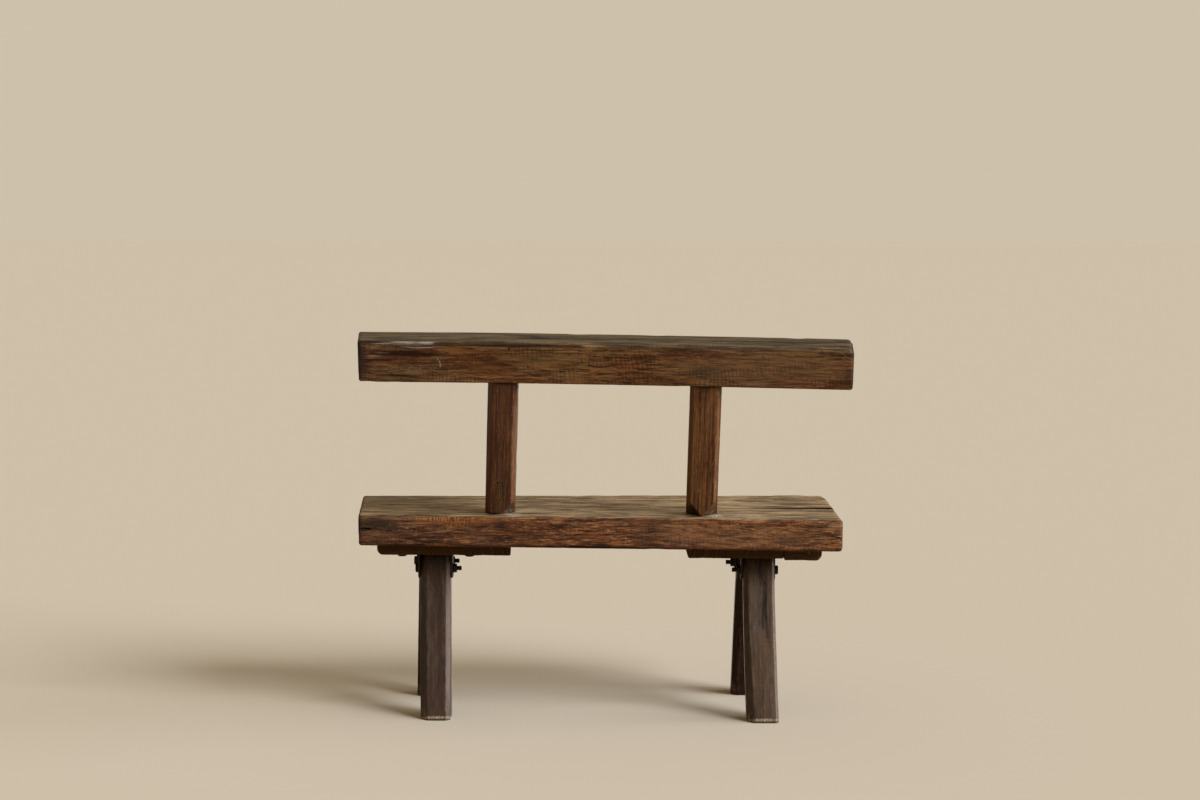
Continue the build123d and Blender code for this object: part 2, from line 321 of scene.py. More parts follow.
def close_end(
    ring: Array, row: Array, sides: Sequence[int], total: int, outward: bool
) -> tuple[Array, Array, Array]:
    """Closes a ring with a patch of quads blended from its four sides.

    Args:
        ring: The ring's points.
        row: The ring's own point numbers.
        sides: Number of steps on the ring's sides along each axis.
        total: Number of points made so far.
        outward: Whether the patch faces along the grain.

    Returns:
        The patch's inner points, its quads, and the inner points' distances from its edge.
    """
    across, up = sides
    closed = np.concatenate((ring, ring[:1]))
    low, right = closed[: across + 1], closed[across : across + up + 1]
    high = closed[across + up : 2 * across + up + 1][::-1]
    left = closed[2 * across + up : 2 * across + 2 * up + 1][::-1]
    u = np.linspace(0, 1, across + 1)[:, None, None]
    v = np.linspace(0, 1, up + 1)[None, :, None]
    patch = (1 - v) * low[:, None] + v * high[:, None] + (1 - u) * left[None] + u * right[None]
    patch -= (1 - u) * (1 - v) * low[0] + u * (1 - v) * low[-1] + (1 - u) * v * high[0] + u * v * high[-1]
    numbers = np.empty((across + 1, up + 1), int)
    numbers[1:-1, 1:-1] = total + np.arange((across - 1) * (up - 1)).reshape(across - 1, up - 1)
    walk = np.concatenate((row, row[:1]))
    numbers[:, 0] = walk[: across + 1]
    numbers[-1, :] = walk[across : across + up + 1]
    numbers[:, -1] = walk[across + up : 2 * across + up + 1][::-1]
    numbers[0, :] = walk[2 * across + up :][::-1]
    corners = [numbers[:-1, :-1], numbers[1:, :-1], numbers[1:, 1:], numbers[:-1, 1:]]
    quads = np.stack(corners if outward else corners[::-1], axis=-1).reshape(-1, 4)
    inner = patch[1:-1, 1:-1].reshape(-1, 3)
    spread = np.abs(ring[:, 1:]).max(axis=0)
    return inner, quads, (spread - np.abs(inner[:, 1:])).min(axis=1)


# Cuts in the timbers


class Cut:
    """A shape that is taken out of a timber, in the bench's coordinates."""

    def mesh(self) -> tuple[Array, Faces]:
        """Gives the closed shape's points and faces."""
        raise NotImplementedError


def loft_loops(loops: Sequence[Array]) -> tuple[Array, Faces]:
    """Joins loops of equal length into a closed tube with flat ends.

    Args:
        loops: The loops' points, in order.

    Returns:
        The tube's points and faces.
    """
    count = len(loops[0])
    faces = [tuple(range(count))[::-1]]
    for step in range(len(loops) - 1):
        low = step * count
        faces += [
            (low + i, low + (i + 1) % count, low + count + (i + 1) % count, low + count + i)
            for i in range(count)
        ]
    last = (len(loops) - 1) * count
    faces.append(tuple(range(last, last + count)))
    return np.concatenate(loops), faces


@dataclass(frozen=True)
class Crack(Cut):
    """A drying crack: a jagged blade that follows a line on the surface."""

    line: tuple[Point, ...]
    gapes: tuple[float, ...]
    depth: float
    into: Point
    jag: float = 0.0012
    steps: int = 36
    lift: float = 0.006

    def mesh(self) -> tuple[Array, Faces]:
        """Lofts a narrow wedge along the line.

        Returns:
            Its points and faces.
        """
        marks = np.linspace(0, 1, len(self.line))
        shares = np.linspace(0, 1, self.steps)
        spots = np.column_stack([np.interp(shares, marks, axis) for axis in zip(*self.line)])
        gapes = np.interp(shares, marks, self.gapes)
        into = Vector(self.into).normalized()
        forward = Vector(spots[-1] - spots[0]).normalized()
        beside = np.array(forward.cross(into).normalized())
        into = np.array(into)
        jags = grain_noise(spots, (90.0, 90.0, 90.0), 3.7) * self.jag
        flares = 1 + 0.5 * grain_noise(spots, (160.0, 160.0, 160.0), 9.1)
        loops = []
        for spot, gape, jag, flare in zip(spots, gapes, jags, flares):
            middle = spot + beside * jag
            half = beside * gape * flare / 2
            bottom = middle + into * self.depth + beside * jag
            waist = middle + into * self.depth * 0.45 - beside * jag * 0.5
            lip = middle - into * self.lift
            loops.append(np.array((lip - half, lip + half, waist + half * 0.6, bottom, waist - half * 0.6)))
        return loft_loops(loops)


@dataclass(frozen=True)
class NailHole(Cut):
    """A hole that an old nail left, a little out of round."""

    centre: Point
    into: Point
    radius: float
    depth: float = 0.008
    sides: int = 10
    lift: float = 0.004

    def mesh(self) -> tuple[Array, Faces]:
        """Lofts a tapering well from above the surface to its floor.

        Returns:
            Its points and faces.
        """
        into = Vector(self.into).normalized()
        beside = into.orthogonal().normalized()
        other = into.cross(beside)
        centre = Vector(self.centre)
        loops = []
        for down, share in ((-self.lift, 1.15), (0.0, 1.0), (self.depth, 0.7)):
            ring = []
            for i in range(self.sides):
                turn = 2 * math.pi * i / self.sides
                radius = self.radius * share * (1 + 0.14 * math.sin(2 * turn + self.radius * 4000))
                out = beside * math.cos(turn) + other * math.sin(turn)
                ring.append(centre + into * down + out * radius)
            loops.append(np.array([tuple(spot) for spot in ring]))
        return loft_loops(loops)


@dataclass(frozen=True)
class Chip(Cut):
    """A splinter lost from an edge: a ragged lens that bites into the timber."""

    centre: Point
    size: Point
    turn: Matrix = field(default_factory=Matrix)
    ragged: float = 0.25

    def mesh(self) -> tuple[Array, Faces]:
        """Makes a ball, pulls it ragged and stretches it to size.

        Returns:
            Its points and faces.
        """
        ball = bmesh.new()
        bmesh.ops.create_icosphere(ball, subdivisions=3, radius=1.0)
        points = np.array([tuple(vertex.co) for vertex in ball.verts])
        faces = [tuple(vertex.index for vertex in face.verts) for face in ball.faces]
        ball.free()
        pull = 1 + self.ragged * grain_noise(points, (2.3, 2.3, 2.3), self.centre[0] * 50)
        points = points * pull[:, None] * np.array(self.size) / 2
        return transform(Matrix.Translation(self.centre) @ self.turn, points), faces


@dataclass(frozen=True)
class Dent:
    """A shallow hollow that is pressed or worn into a timber, in the bench's coordinates."""

    at: Point
    reach: Point
    push: Point

    def moves(self, points: Array) -> Array:
        """Works out how far each point is pushed.

        Args:
            points: Places on the bench, one row each.

        Returns:
            Each place's move.
        """
        offsets = (points - np.array(self.at)) / np.array(self.reach)
        near = np.clip(1 - (offsets**2).sum(axis=1), 0.0, None) ** 2
        return np.outer(near, self.push)


# Shader node groups


class Effect(Enum):
    """Shader effects that more than one of the bench's materials uses."""

    FIGURE = "Timber figure"
    VEIL = "Weather veil"
    MOTTLE = "Stain mottle"
    SAW = "Saw marks"
    ARRIS = "Arris wear"
    PATCH = "Local patch"
    PATINA = "Steel patina"


class Gaps(Enum):
    """How the gaps in a broken mark run: waves per metre along the grain and across it."""

    STREAKS = (45.0, 480.0, 480.0)
    TICKS = (430.0, 70.0, 70.0)
    CRUMBS = (240.0, 280.0, 280.0)


class Graph:
    """Adds nodes to one node tree and links them."""

    def __init__(self, tree: NodeTree) -> None:
        """Keeps the tree."""
        self.tree = tree

    def add(self, kind: str, inputs: Mapping[Any, Any] | None = None, **settings: Any) -> Node:
        """Adds a node.

        Args:
            kind: The node's type name.
            inputs: Values or sockets for its inputs, by name or number.
            **settings: The node's own properties.

        Returns:
            The new node.
        """
        node = self.tree.nodes.new(kind)
        for name, value in settings.items():
            setattr(node, name, value)
        self.feed(node.inputs, inputs or {})
        return node

    def feed(self, sockets: NodeInputs, values: Mapping[Any, Any]) -> None:
        """Links sockets to a node's inputs, or sets their values.

        Args:
            sockets: The node's inputs.
            values: Values or sockets for them, by name or number.
        """
        for key, value in values.items():
            if isinstance(value, NodeSocket):
                self.tree.links.new(value, sockets[key])
            else:
                sockets[key].default_value = value

    def math(self, operation: str, first: Any, second: Any = 0.0, third: Any = 0.0) -> NodeSocket:
        """Adds a Math node and gives its value."""
        return self.add("ShaderNodeMath", {0: first, 1: second, 2: third}, operation=operation).outputs[0]

    def vector(self, operation: str, first: Any, second: Any = ORIGIN) -> NodeSocket:
        """Adds a Vector Math node and gives its vector, or its length."""
        node = self.add("ShaderNodeVectorMath", {0: first, 1: second}, operation=operation)
        return node.outputs["Value" if operation == "LENGTH" else "Vector"]

    def noise(
        self, vector: Any, stretch: Point, detail: float = 2.0, rough: float = 0.5, output: str = "Fac"
    ) -> NodeSocket:
        """Adds noise that is stretched along the axes.

        Args:
            vector: Where it is read.
            stretch: Waves per metre along X, Y and Z.
            detail: Number of finer layers.
            rough: Share of each finer layer.
            output: Which of the node's outputs is wanted.

        Returns:
            The noise.
        """
        scaled = self.vector("MULTIPLY", vector, stretch)
        settings = {"Vector": scaled, "Scale": 1.0, "Detail": detail, "Roughness": rough}
        return self.add("ShaderNodeTexNoise", settings).outputs[output]

    def ease(self, value: Any, low: float, high: float, bottom: float = 0.0, top: float = 1.0) -> NodeSocket:
        """Eases a value from bottom at low to top at high."""
        limits = {"Value": value, "From Min": low, "From Max": high, "To Min": bottom, "To Max": top}
        return self.add("ShaderNodeMapRange", limits, interpolation_type="SMOOTHSTEP").outputs["Result"]

    def mix(self, factor: Any, first: Any, second: Any, blend: str = "MIX") -> NodeSocket:
        """Mixes two colours."""
        sockets = {0: factor, 6: first, 7: second}
        return self.add("ShaderNodeMix", sockets, data_type="RGBA", blend_type=blend).outputs[2]


class Effects:
    """The bench's shader node groups, each built once when a material first needs it."""

    def __init__(self) -> None:
        """Lists each group's builder and what it is given besides Vector, and starts with none built."""
        self.trees: dict[Effect, NodeTree] = {}
        self.recipes: dict[Effect, tuple[Callable[[Graph, Sockets], Sockets], dict[str, float | Point]]] = {
            Effect.FIGURE: (
                self.figure,
                {"Run": (1.0, 1.0, 1.0), "Knot": NO_KNOT, "Ring Width": 0.005, "Waver": 0.008},
            ),
            Effect.VEIL: (self.veil, {"Streaks": (7.0, 90.0, 90.0), "Exposure": 0.0}),
            Effect.MOTTLE: (self.mottle, {}),
            Effect.SAW: (self.saw, {"Pitch": 0.0085}),
            Effect.ARRIS: (self.arris, {"Edge": 0.0}),
            Effect.PATCH: (
                self.patch,
                {
                    "Centre": ORIGIN,
                    "Reach": (0.1, 0.1, 0.1),
                    "Turn": ORIGIN,
                    "Gaps": Gaps.STREAKS.value,
                    "Ragged": 0.5,
                    "Broken": 0.0,
                },
            ),
            Effect.PATINA: (self.patina, {}),
        }

    def place(self, graph: Graph, effect: Effect, inputs: Mapping[str, Any]) -> NodeOutputs:
        """Places an effect's group in a material.

        Args:
            graph: The material's graph.
            effect: Which effect.
            inputs: Values or sockets for the group's inputs.

        Returns:
            The group's outputs.
        """
        if effect not in self.trees:
            self.trees[effect] = self.build(effect)
        return graph.add("ShaderNodeGroup", inputs, node_tree=self.trees[effect]).outputs

    def build(self, effect: Effect) -> NodeTree:
        """Builds an effect's group with its named sockets.

        Args:
            effect: Which effect.

        Returns:
            The group's node tree.
        """
        builder, inputs = self.recipes[effect]
        tree = bpy.data.node_groups.new(effect.value, "ShaderNodeTree")
        for name, value in {"Vector": ORIGIN, **inputs}.items():
            kind = "NodeSocketVector" if isinstance(value, tuple) else "NodeSocketFloat"
            tree.interface.new_socket(name=name, in_out="INPUT", socket_type=kind).default_value = value
        graph = Graph(tree)
        made = builder(graph, graph.add("NodeGroupInput").outputs)
        for name in made:
            tree.interface.new_socket(name=name, in_out="OUTPUT", socket_type="NodeSocketFloat")
        graph.add("NodeGroupOutput", made)
        return tree

    def figure(self, graph: Graph, given: Sockets) -> Sockets:
        """Makes growth rings about the pith, which is the X axis, with grain, fibres and pores along it.

        The rings bulge round one knot. Run stretches the grain: a low X makes it longer.

        Args:
            graph: The group's graph.
            given: The group's inputs.

        Returns:
            The group's outputs.
        """
        sway = graph.noise(given["Vector"], (1.8, 10.0, 10.0), 3.0, output="Color")
        scaling = {0: graph.vector("SUBTRACT", sway, (0.5, 0.5, 0.5)), "Scale": given["Waver"]}
        sway = graph.add("ShaderNodeVectorMath", scaling, operation="SCALE").outputs[0]
        swayed = graph.vector("ADD", given["Vector"], sway)
        away = graph.vector("DIVIDE", graph.vector("SUBTRACT", swayed, given["Knot"]), (0.05, 0.02, 0.02))
        away = graph.vector("LENGTH", away)
        radius = graph.vector("LENGTH", graph.vector("MULTIPLY", swayed, (0.0, 1.0, 1.0)))
        radius = graph.math("ADD", radius, graph.ease(away, 0.0, 1.3, 0.018, 0.0))
        waves = {"W": radius, "Scale": 70.0, "Detail": 1.0}
        uneven = graph.add("ShaderNodeTexNoise", waves, noise_dimensions="1D").outputs["Fac"]
        phase = graph.math("DIVIDE", radius, given["Ring Width"])
        share = graph.math("FRACT", graph.math("MULTIPLY_ADD", uneven, 2.4, phase))
        late = graph.ease(share, 0.86, 1.0, 1.0, 0.0)
        rings = graph.math("MULTIPLY", graph.math("POWER", share, 1.7), late)
        run = graph.vector("MULTIPLY", swayed, given["Run"])
        grain = graph.ease(graph.noise(run, (15.0, 210.0, 210.0), 4.0, 0.62), 0.34, 0.66)
        fibre = graph.ease(graph.noise(run, (48.0, 720.0, 720.0), 3.0, 0.62), 0.3, 0.7)
        pores = graph.ease(graph.noise(run, (110.0, 1600.0, 1600.0), 1.0), 0.58, 0.7)
        relief = graph.math("MULTIPLY_ADD", grain, 0.4, graph.math("MULTIPLY", fibre, 0.3))
        relief = graph.math("MULTIPLY_ADD", rings, 0.35, relief)
        return {
            "Rings": rings,
            "Grain": grain,
            "Fibre": fibre,
            "Pores": pores,
            "Knot": graph.ease(away, 0.12, 0.3, 1.0, 0.0),
            "Height": graph.math("MULTIPLY_ADD", pores, -0.5, relief),
        }

    def veil(self, graph: Graph, given: Sockets) -> Sockets:
        """Makes the grey that weather leaves: ragged at its edge, streaked, and split by fine checks.

        Args:
            graph: The group's graph.
            given: The group's inputs.

        Returns:
            The group's outputs.
        """
        ragged = graph.noise(given["Vector"], (14.0, 110.0, 110.0), 4.0, 0.6)
        shifted = graph.math("MULTIPLY_ADD", graph.math("SUBTRACT", ragged, 0.5), 1.3, given["Exposure"])
        run = graph.vector("MULTIPLY", given["Vector"], given["Streaks"])
        moved = graph.vector("ADD", given["Vector"], (3.1, 0.7, 0.4))
        return {
            "Mask": graph.ease(shifted, 0.36, 0.64),
            "Streak": graph.ease(graph.noise(run, (1.0, 1.0, 1.0), 6.0, 0.64), 0.43, 0.57),
            "Soot": graph.ease(graph.noise(moved, (8.0, 40.0, 40.0), 6.0, 0.66), 0.51, 0.62),
            "Check": graph.ease(graph.noise(moved, (2.4, 150.0, 150.0), 2.0, 0.5), 0.64, 0.7),
        }

    def mottle(self, graph: Graph, given: Sockets) -> Sockets:
        """Makes uneven stain: two-tone zones, dark blotches, warm bare spots, and dark and pale flecks.

        Args:
            graph: The group's graph.
            given: The group's inputs.

        Returns:
            The group's outputs.
        """
        layers = {
            "Dark": (ORIGIN, (9.0, 36.0, 36.0), 5.0, 0.48, 0.66),
            "Warm": ((1.7, 0.31, 0.53), (18.0, 80.0, 80.0), 5.0, 0.5, 0.68),
            "Haze": ((4.3, 0.9, 0.2), (5.0, 18.0, 18.0), 4.0, 0.38, 0.62),
            "Fleck": ((7.9, 0.6, 0.8), (50.0, 260.0, 260.0), 4.0, 0.55, 0.68),
            "Spark": ((2.3, 0.2, 0.5), (60.0, 320.0, 320.0), 3.0, 0.6, 0.72),
        }
        made = {}
        for name, (shift, stretch, detail, low, high) in layers.items():
            moved = graph.vector("ADD", given["Vector"], shift)
            made[name] = graph.ease(graph.noise(moved, stretch, detail, 0.62), low, high)
        return made

    def saw(self, graph: Graph, given: Sockets) -> Sockets:
        """Makes the faint lines that a frame saw leaves across the grain.

        Args:
            graph: The group's graph.
            given: The group's inputs.

        Returns:
            The group's outputs.
        """
        parts = graph.add("ShaderNodeSeparateXYZ", {"Vector": given["Vector"]}).outputs
        wander = graph.noise(given["Vector"], (17.0, 9.0, 9.0), 2.0)
        slant = graph.math("MULTIPLY_ADD", parts["Z"], 0.05, parts["X"])
        slant = graph.math("MULTIPLY_ADD", wander, 0.03, slant)
        wave = graph.math("FRACT", graph.math("DIVIDE", slant, given["Pitch"]))
        line = graph.ease(graph.math("PINGPONG", wave, 0.5), 0.2, 0.46)
        patchy = graph.ease(graph.noise(given["Vector"], (11.0, 40.0, 40.0), 3.0), 0.44, 0.66)
        return {"Mask": graph.math("MULTIPLY", line, patchy)}

    def arris(self, graph: Graph, given: Sockets) -> Sockets:
        """Makes rubbed edges: broken patches near the timber's edges."""
        broken = graph.ease(graph.noise(given["Vector"], (45.0, 120.0, 120.0), 4.0, 0.6), 0.4, 0.66, 0.2, 1.0)
        return {"Mask": graph.ease(graph.math("MULTIPLY", given["Edge"], broken), 0.35, 0.85)}

    def patch(self, graph: Graph, given: Sockets) -> Sockets:
        """Makes one ragged patch about a place on the timber.

        Args:
            graph: The group's graph.
            given: The group's inputs.

        Returns:
            The group's outputs.
        """
        away = graph.vector("SUBTRACT", given["Vector"], given["Centre"])
        settings = {"Vector": away, "Rotation": given["Turn"]}
        offset = graph.add("ShaderNodeVectorRotate", settings, rotation_type="EULER_XYZ").outputs["Vector"]
        offset = graph.vector("DIVIDE", offset, given["Reach"])
        ragged = graph.noise(given["Vector"], (36.0, 240.0, 240.0), 4.0, 0.65)
        ragged = graph.math("MULTIPLY", graph.math("SUBTRACT", ragged, 0.5), given["Ragged"])
        distance = graph.math("MULTIPLY_ADD", ragged, 2.0, graph.vector("LENGTH", offset))
        spread = graph.vector("MULTIPLY", given["Vector"], given["Gaps"])
        streaks = graph.noise(spread, (1.0, 1.0, 1.0), 4.0, 0.66)
        gaps = graph.math("MULTIPLY", graph.ease(streaks, 0.57, 0.48), given["Broken"])
        whole = graph.ease(distance, 0.35, 1.0, 1.0, 0.0)
        return {"Mask": graph.math("MULTIPLY", whole, graph.math("SUBTRACT", 1.0, gaps))}

    def patina(self, graph: Graph, given: Sockets) -> Sockets:
        """Makes aged steel: rust blooms, a cloudy tone and a fine pitted height.

        Args:
            graph: The group's graph.
            given: The group's inputs.

        Returns:
            The group's outputs.
        """
        rust = graph.noise(given["Vector"], (110.0, 110.0, 110.0), 5.0, 0.65)
        pits = graph.noise(given["Vector"], (1500.0, 1500.0, 1500.0), 2.0)
        return {
            "Rust": graph.ease(rust, 0.48, 0.64),
            "Cloud": graph.noise(given["Vector"], (320.0, 320.0, 320.0), 3.0),
            "Height": graph.math("MULTIPLY_ADD", pits, 0.6, graph.math("MULTIPLY", rust, 0.8)),
        }


EFFECTS = Effects()


# Finishes


def start_material(name: str) -> tuple[Material, Graph, NodeInputs]:
    """Starts a material.

    Args:
        name: The material's name.

    Returns:
        The material, its graph and its shader's inputs.
    """
    material = bpy.data.materials.new(name)
    material.use_nodes = True
    return material, Graph(material.node_tree), material.node_tree.nodes["Principled BSDF"].inputs


class Coat(Enum):
    """How a mark's colour lies on the wood: over it, or soaked in so that the figure still shows. Soaking in
    lays real stains and also painted shade.
    """

    COVER = "MIX"
    STAIN_AND_SHADE = "MULTIPLY"


@dataclass(frozen=True)
class Mark:
    """A patch of colour at one place on a timber."""

    at: Point
    reach: Point
    colour: Colour
    strength: float = 0.7
    ragged: float = 0.5
    broken: float = 0.5
    coat: Coat = Coat.COVER
    gaps: Gaps = Gaps.STREAKS
    turn: Point = ORIGIN


def scratch(
    face: Callable[[float, float], Point],
    ends: tuple[tuple[float, float], tuple[float, float]],
    width: float,
    colour: Colour,
    strength: float,
    ragged: float = 0.1,
) -> Mark:
    """Gives a thin straight mark on a plank's back face.

    Args:
        face: Gives a place on that face, from its place along and up.
        ends: The mark's ends, each along and up.
        width: Half its width.
        colour: Its colour.
        strength: How much it hides the wood.
        ragged: How uneven its edge is.

    Returns:
        The mark.
    """
    (start, low), (stop, high) = ends
    half = math.hypot(stop - start, high - low) / 2
    middle = face((start + stop) / 2, (low + high) / 2)
    slope = (0.0, math.atan2(high - low, stop - start), 0.0)
    return Mark(middle, (half * 1.4, 0.012, width), colour, strength, ragged, 0.0, turn=slope)


@dataclass(frozen=True)
class WoodFinish:
    """Colours and surface of one stained or weathered timber."""

    slot: str
    first: Colour
    second: Colour
    dark: Colour
    light: Colour
    blotch: Colour
    warm: Colour
    grey_dark: Colour
    grey_light: Colour
    worn: Colour
    end_grain: Colour
    run: Point = (1.0, 1.0, 1.0)
    streaks: Point = (7.0, 90.0, 90.0)
    ring_width: float = 0.005
    waver: float = 0.012
    contrast: float = 0.45
    ring_share: float = 0.3
    blotch_share: float = 0.6
    warm_share: float = 0.35
    fleck_share: float = 0.4
    spark_share: float = 0.3
    check_share: float = 0.5
    saw_share: float = 0.3
    worn_share: float = 0.25
    knot_share: float = 0.4
    soot_share: float = 0.62
    pore_share: float = 0.35
    specular: float = 0.2
    roughness: float = 0.62
    gloss: float = 0.08
    relief: float = 0.5

    def material(self, name: str, seed: float, marks: Sequence[Mark], knot: Point) -> Material:
        """Builds the timber's material.

        Args:
            name: The material's name.
            seed: Shift along the grain that makes this timber's figure its own.
            marks: Patches of colour, placed from the timber's pith.
            knot: Where the knot is, from the timber's pith.

        Returns:
            The material.
        """
        material, graph, shader = start_material(name)
        place = graph.add("ShaderNodeAttribute", attribute_name="grain").outputs["Vector"]
        seeded = graph.vector("ADD", place, (seed, 0.0, 0.0))
        edge, exposure, butt = (
            graph.add("ShaderNodeAttribute", attribute_name=stored).outputs["Fac"]
            for stored in ("arris", "exposure", "butt")
        )
        settings = {
            "Vector": seeded,
            "Run": self.run,
            "Knot": (knot[0] + seed, knot[1], knot[2]),
            "Ring Width": self.ring_width,
            "Waver": self.waver,
        }
        figure = EFFECTS.place(graph, Effect.FIGURE, settings)
        mottle = EFFECTS.place(graph, Effect.MOTTLE, {"Vector": seeded})
        settings = {"Vector": seeded, "Streaks": self.streaks, "Exposure": exposure}
        veil = EFFECTS.place(graph, Effect.VEIL, settings)
        saw = EFFECTS.place(graph, Effect.SAW, {"Vector": seeded})["Mask"]
        pale_edge = EFFECTS.place(graph, Effect.ARRIS, {"Vector": seeded, "Edge": edge})["Mask"]

        tone = graph.math("MULTIPLY_ADD", figure["Grain"], 0.6, graph.math("MULTIPLY", figure["Fibre"], 0.4))
        colour = graph.mix(mottle["Haze"], linear(self.first), linear(self.second))
        colour = graph.mix(graph.ease(tone, 0.1, 0.5, self.contrast, 0.0), colour, linear(self.dark))
        colour = graph.mix(graph.ease(tone, 0.5, 0.95, 0.0, self.contrast), colour, linear(self.light))
        layers = (
            (figure["Rings"], self.ring_share, self.dark),
            (mottle["Dark"], self.blotch_share, self.blotch),
            (mottle["Warm"], self.warm_share, self.warm),
            (mottle["Fleck"], self.fleck_share, self.blotch),
            (mottle["Spark"], self.spark_share, self.light),
            (saw, self.saw_share, self.blotch),
            (figure["Knot"], self.knot_share, self.blotch),
        )
        for mask, share, layer in layers:
            colour = graph.mix(graph.math("MULTIPLY", mask, share), colour, linear(layer))
        ends = graph.mix(figure["Rings"], linear(self.end_grain), linear(self.blotch))
        colour = graph.mix(butt, colour, ends)
        streaks = graph.math("MULTIPLY_ADD", tone, 0.45, graph.math("MULTIPLY", veil["Streak"], 0.5))
        streaks = graph.math("MULTIPLY_ADD", figure["Rings"], 0.35, streaks)
        grey = graph.mix(streaks, linear(self.grey_dark), linear(self.grey_light))
        grey = graph.mix(graph.math("MULTIPLY", veil["Soot"], self.soot_share), grey, linear(self.grey_dark))
        grey = graph.mix(graph.math("MULTIPLY", veil["Check"], self.check_share), grey, linear(self.blotch))
        colour = graph.mix(veil["Mask"], colour, grey)
        colour = graph.mix(graph.math("MULTIPLY", pale_edge, self.worn_share), colour, linear(self.worn))
        for mark in marks:
            settings = {
                "Vector": place,
                "Centre": mark.at,
                "Reach": mark.reach,
                "Turn": mark.turn,
                "Gaps": mark.gaps.value,
                "Ragged": mark.ragged,
                "Broken": mark.broken,
            }
            mask = EFFECTS.place(graph, Effect.PATCH, settings)["Mask"]
            share = graph.math("MULTIPLY", mask, mark.strength)
            colour = graph.mix(share, colour, linear(mark.colour), mark.coat.value)
        shade = graph.math("MULTIPLY_ADD", figure["Pores"], -self.pore_share, 1.0)
        colour = graph.mix(1.0, colour, shade, "MULTIPLY")

        height = graph.math("MULTIPLY_ADD", saw, -0.4, figure["Height"])
        relief = {"Strength": self.relief, "Distance": BUMP_DISTANCE, "Height": height}
        ends = (self.roughness + self.gloss, self.roughness - self.gloss)
        graph.feed(shader, {
            "Base Color": colour,
            "Roughness": graph.ease(figure["Fibre"], 0.0, 1.0, *ends),
            "Specular IOR Level": self.specular,
            "Normal": graph.add("ShaderNodeBump", relief).outputs["Normal"],
        })
        return material

    def crevice(self, name: str) -> Material:
        """Builds the dark, dirty wood inside cracks, nail holes and cut facets, darkened further by painted
        shade.

        Args:
            name: The material's name.

        Returns:
            The material.
        """
        material, graph, shader = start_material(name)
        place = graph.add("ShaderNodeTexCoord").outputs["Object"]
        settings = {"Vector": place, "Ring Width": self.ring_width, "Waver": self.waver}
        figure = EFFECTS.place(graph, Effect.FIGURE, settings)
        deepest = tuple(part // 3 for part in self.dark)
        relief = {"Strength": 0.6, "Distance": BUMP_DISTANCE, "Height": figure["Height"]}
        graph.feed(shader, {
            "Base Color": graph.mix(figure["Fibre"], linear(deepest), linear(self.dark)),
            "Roughness": 0.85,
            "Specular IOR Level": self.specular,
            "Normal": graph.add("ShaderNodeBump", relief).outputs["Normal"],
        })
        return material


@dataclass(frozen=True)
class SteelFinish:
    """Colours of one kind of aged steel."""

    slot: str
    skin: Colour
    cloud: Colour
    rust: Colour
    rust_share: float = 0.5
    roughness: float = 0.5
    specular: float = 0.2

    def material(self, name: str) -> Material:
        """Builds the steel's material.

        Args:
            name: The material's name.

        Returns:
            The material.
        """
        material, graph, shader = start_material(name)
        place = graph.add("ShaderNodeTexCoord").outputs["Object"]
        patina = EFFECTS.place(graph, Effect.PATINA, {"Vector": place})
        colour = graph.mix(patina["Cloud"], linear(self.skin), linear(self.cloud))
        rusted = graph.math("MULTIPLY", patina["Rust"], self.rust_share)
        relief = {"Strength": 0.35, "Distance": 0.0004, "Height": patina["Height"]}
        graph.feed(shader, {
            "Base Color": graph.mix(rusted, colour, linear(self.rust)),
            "Metallic": graph.math("SUBTRACT", 0.5, rusted),
            "Roughness": graph.ease(patina["Rust"], 0.0, 1.0, self.roughness, self.roughness + 0.3),
            "Specular IOR Level": self.specular,
            "Normal": graph.add("ShaderNodeBump", relief).outputs["Normal"],
        })
        return material


SEAT_WOOD = WoodFinish(
    slot="seat_timber",
    first=(103, 63, 43), second=(118, 84, 61), dark=(44, 26, 18), light=(178, 126, 80),
    blotch=(46, 32, 26), warm=(160, 98, 52), grey_dark=(42, 33, 21), grey_light=(179, 152, 116),
    worn=(126, 90, 56), end_grain=(96, 72, 52), streaks=(9.0, 58.0, 58.0),
    ring_width=0.0055, waver=0.02, contrast=0.95, fleck_share=0.75, spark_share=1.0, saw_share=0.25,
    specular=0.06,
)
BACK_WOOD = WoodFinish(
    slot="back_timber",
    first=(104, 62, 36), second=(123, 93, 60), dark=(42, 26, 14), light=(158, 118, 74),
    blotch=(42, 28, 18), warm=(136, 84, 44), grey_dark=(36, 30, 21), grey_light=(108, 92, 69),
    worn=(112, 84, 54), end_grain=(56, 40, 32), streaks=(5.0, 120.0, 120.0),
    contrast=0.9, fleck_share=0.75, spark_share=0.8, saw_share=0.4, worn_share=0.0, specular=0.07,
)
LEFT_POST_WOOD = replace(
    BACK_WOOD,
    first=(80, 46, 28), second=(92, 61, 40), dark=(40, 23, 14), light=(122, 80, 52),
    warm=(104, 60, 34), worn=(150, 106, 78), run=(0.45, 1.0, 1.0),
    ring_width=0.0045, contrast=0.7, saw_share=0.05, worn_share=0.3, blotch_share=0.5,
    specular=0.14, roughness=0.36,
)
RIGHT_POST_WOOD = replace(
    LEFT_POST_WOOD,
    first=(92, 54, 31), second=(108, 74, 44), light=(150, 104, 62), warm=(122, 74, 40),
    run=(0.3, 1.0, 1.0),
    contrast=0.8, ring_share=0.45,
)
BEARER_WOOD = replace(
    BACK_WOOD,
    slot="bearer_timber",
    first=(82, 57, 35), second=(96, 73, 47), dark=(38, 23, 10), light=(126, 92, 52),
    blotch=(34, 24, 15), warm=(106, 70, 34), worn=(112, 82, 48), end_grain=(92, 71, 48),
    worn_share=0.3, specular=0.06, roughness=0.75,
)
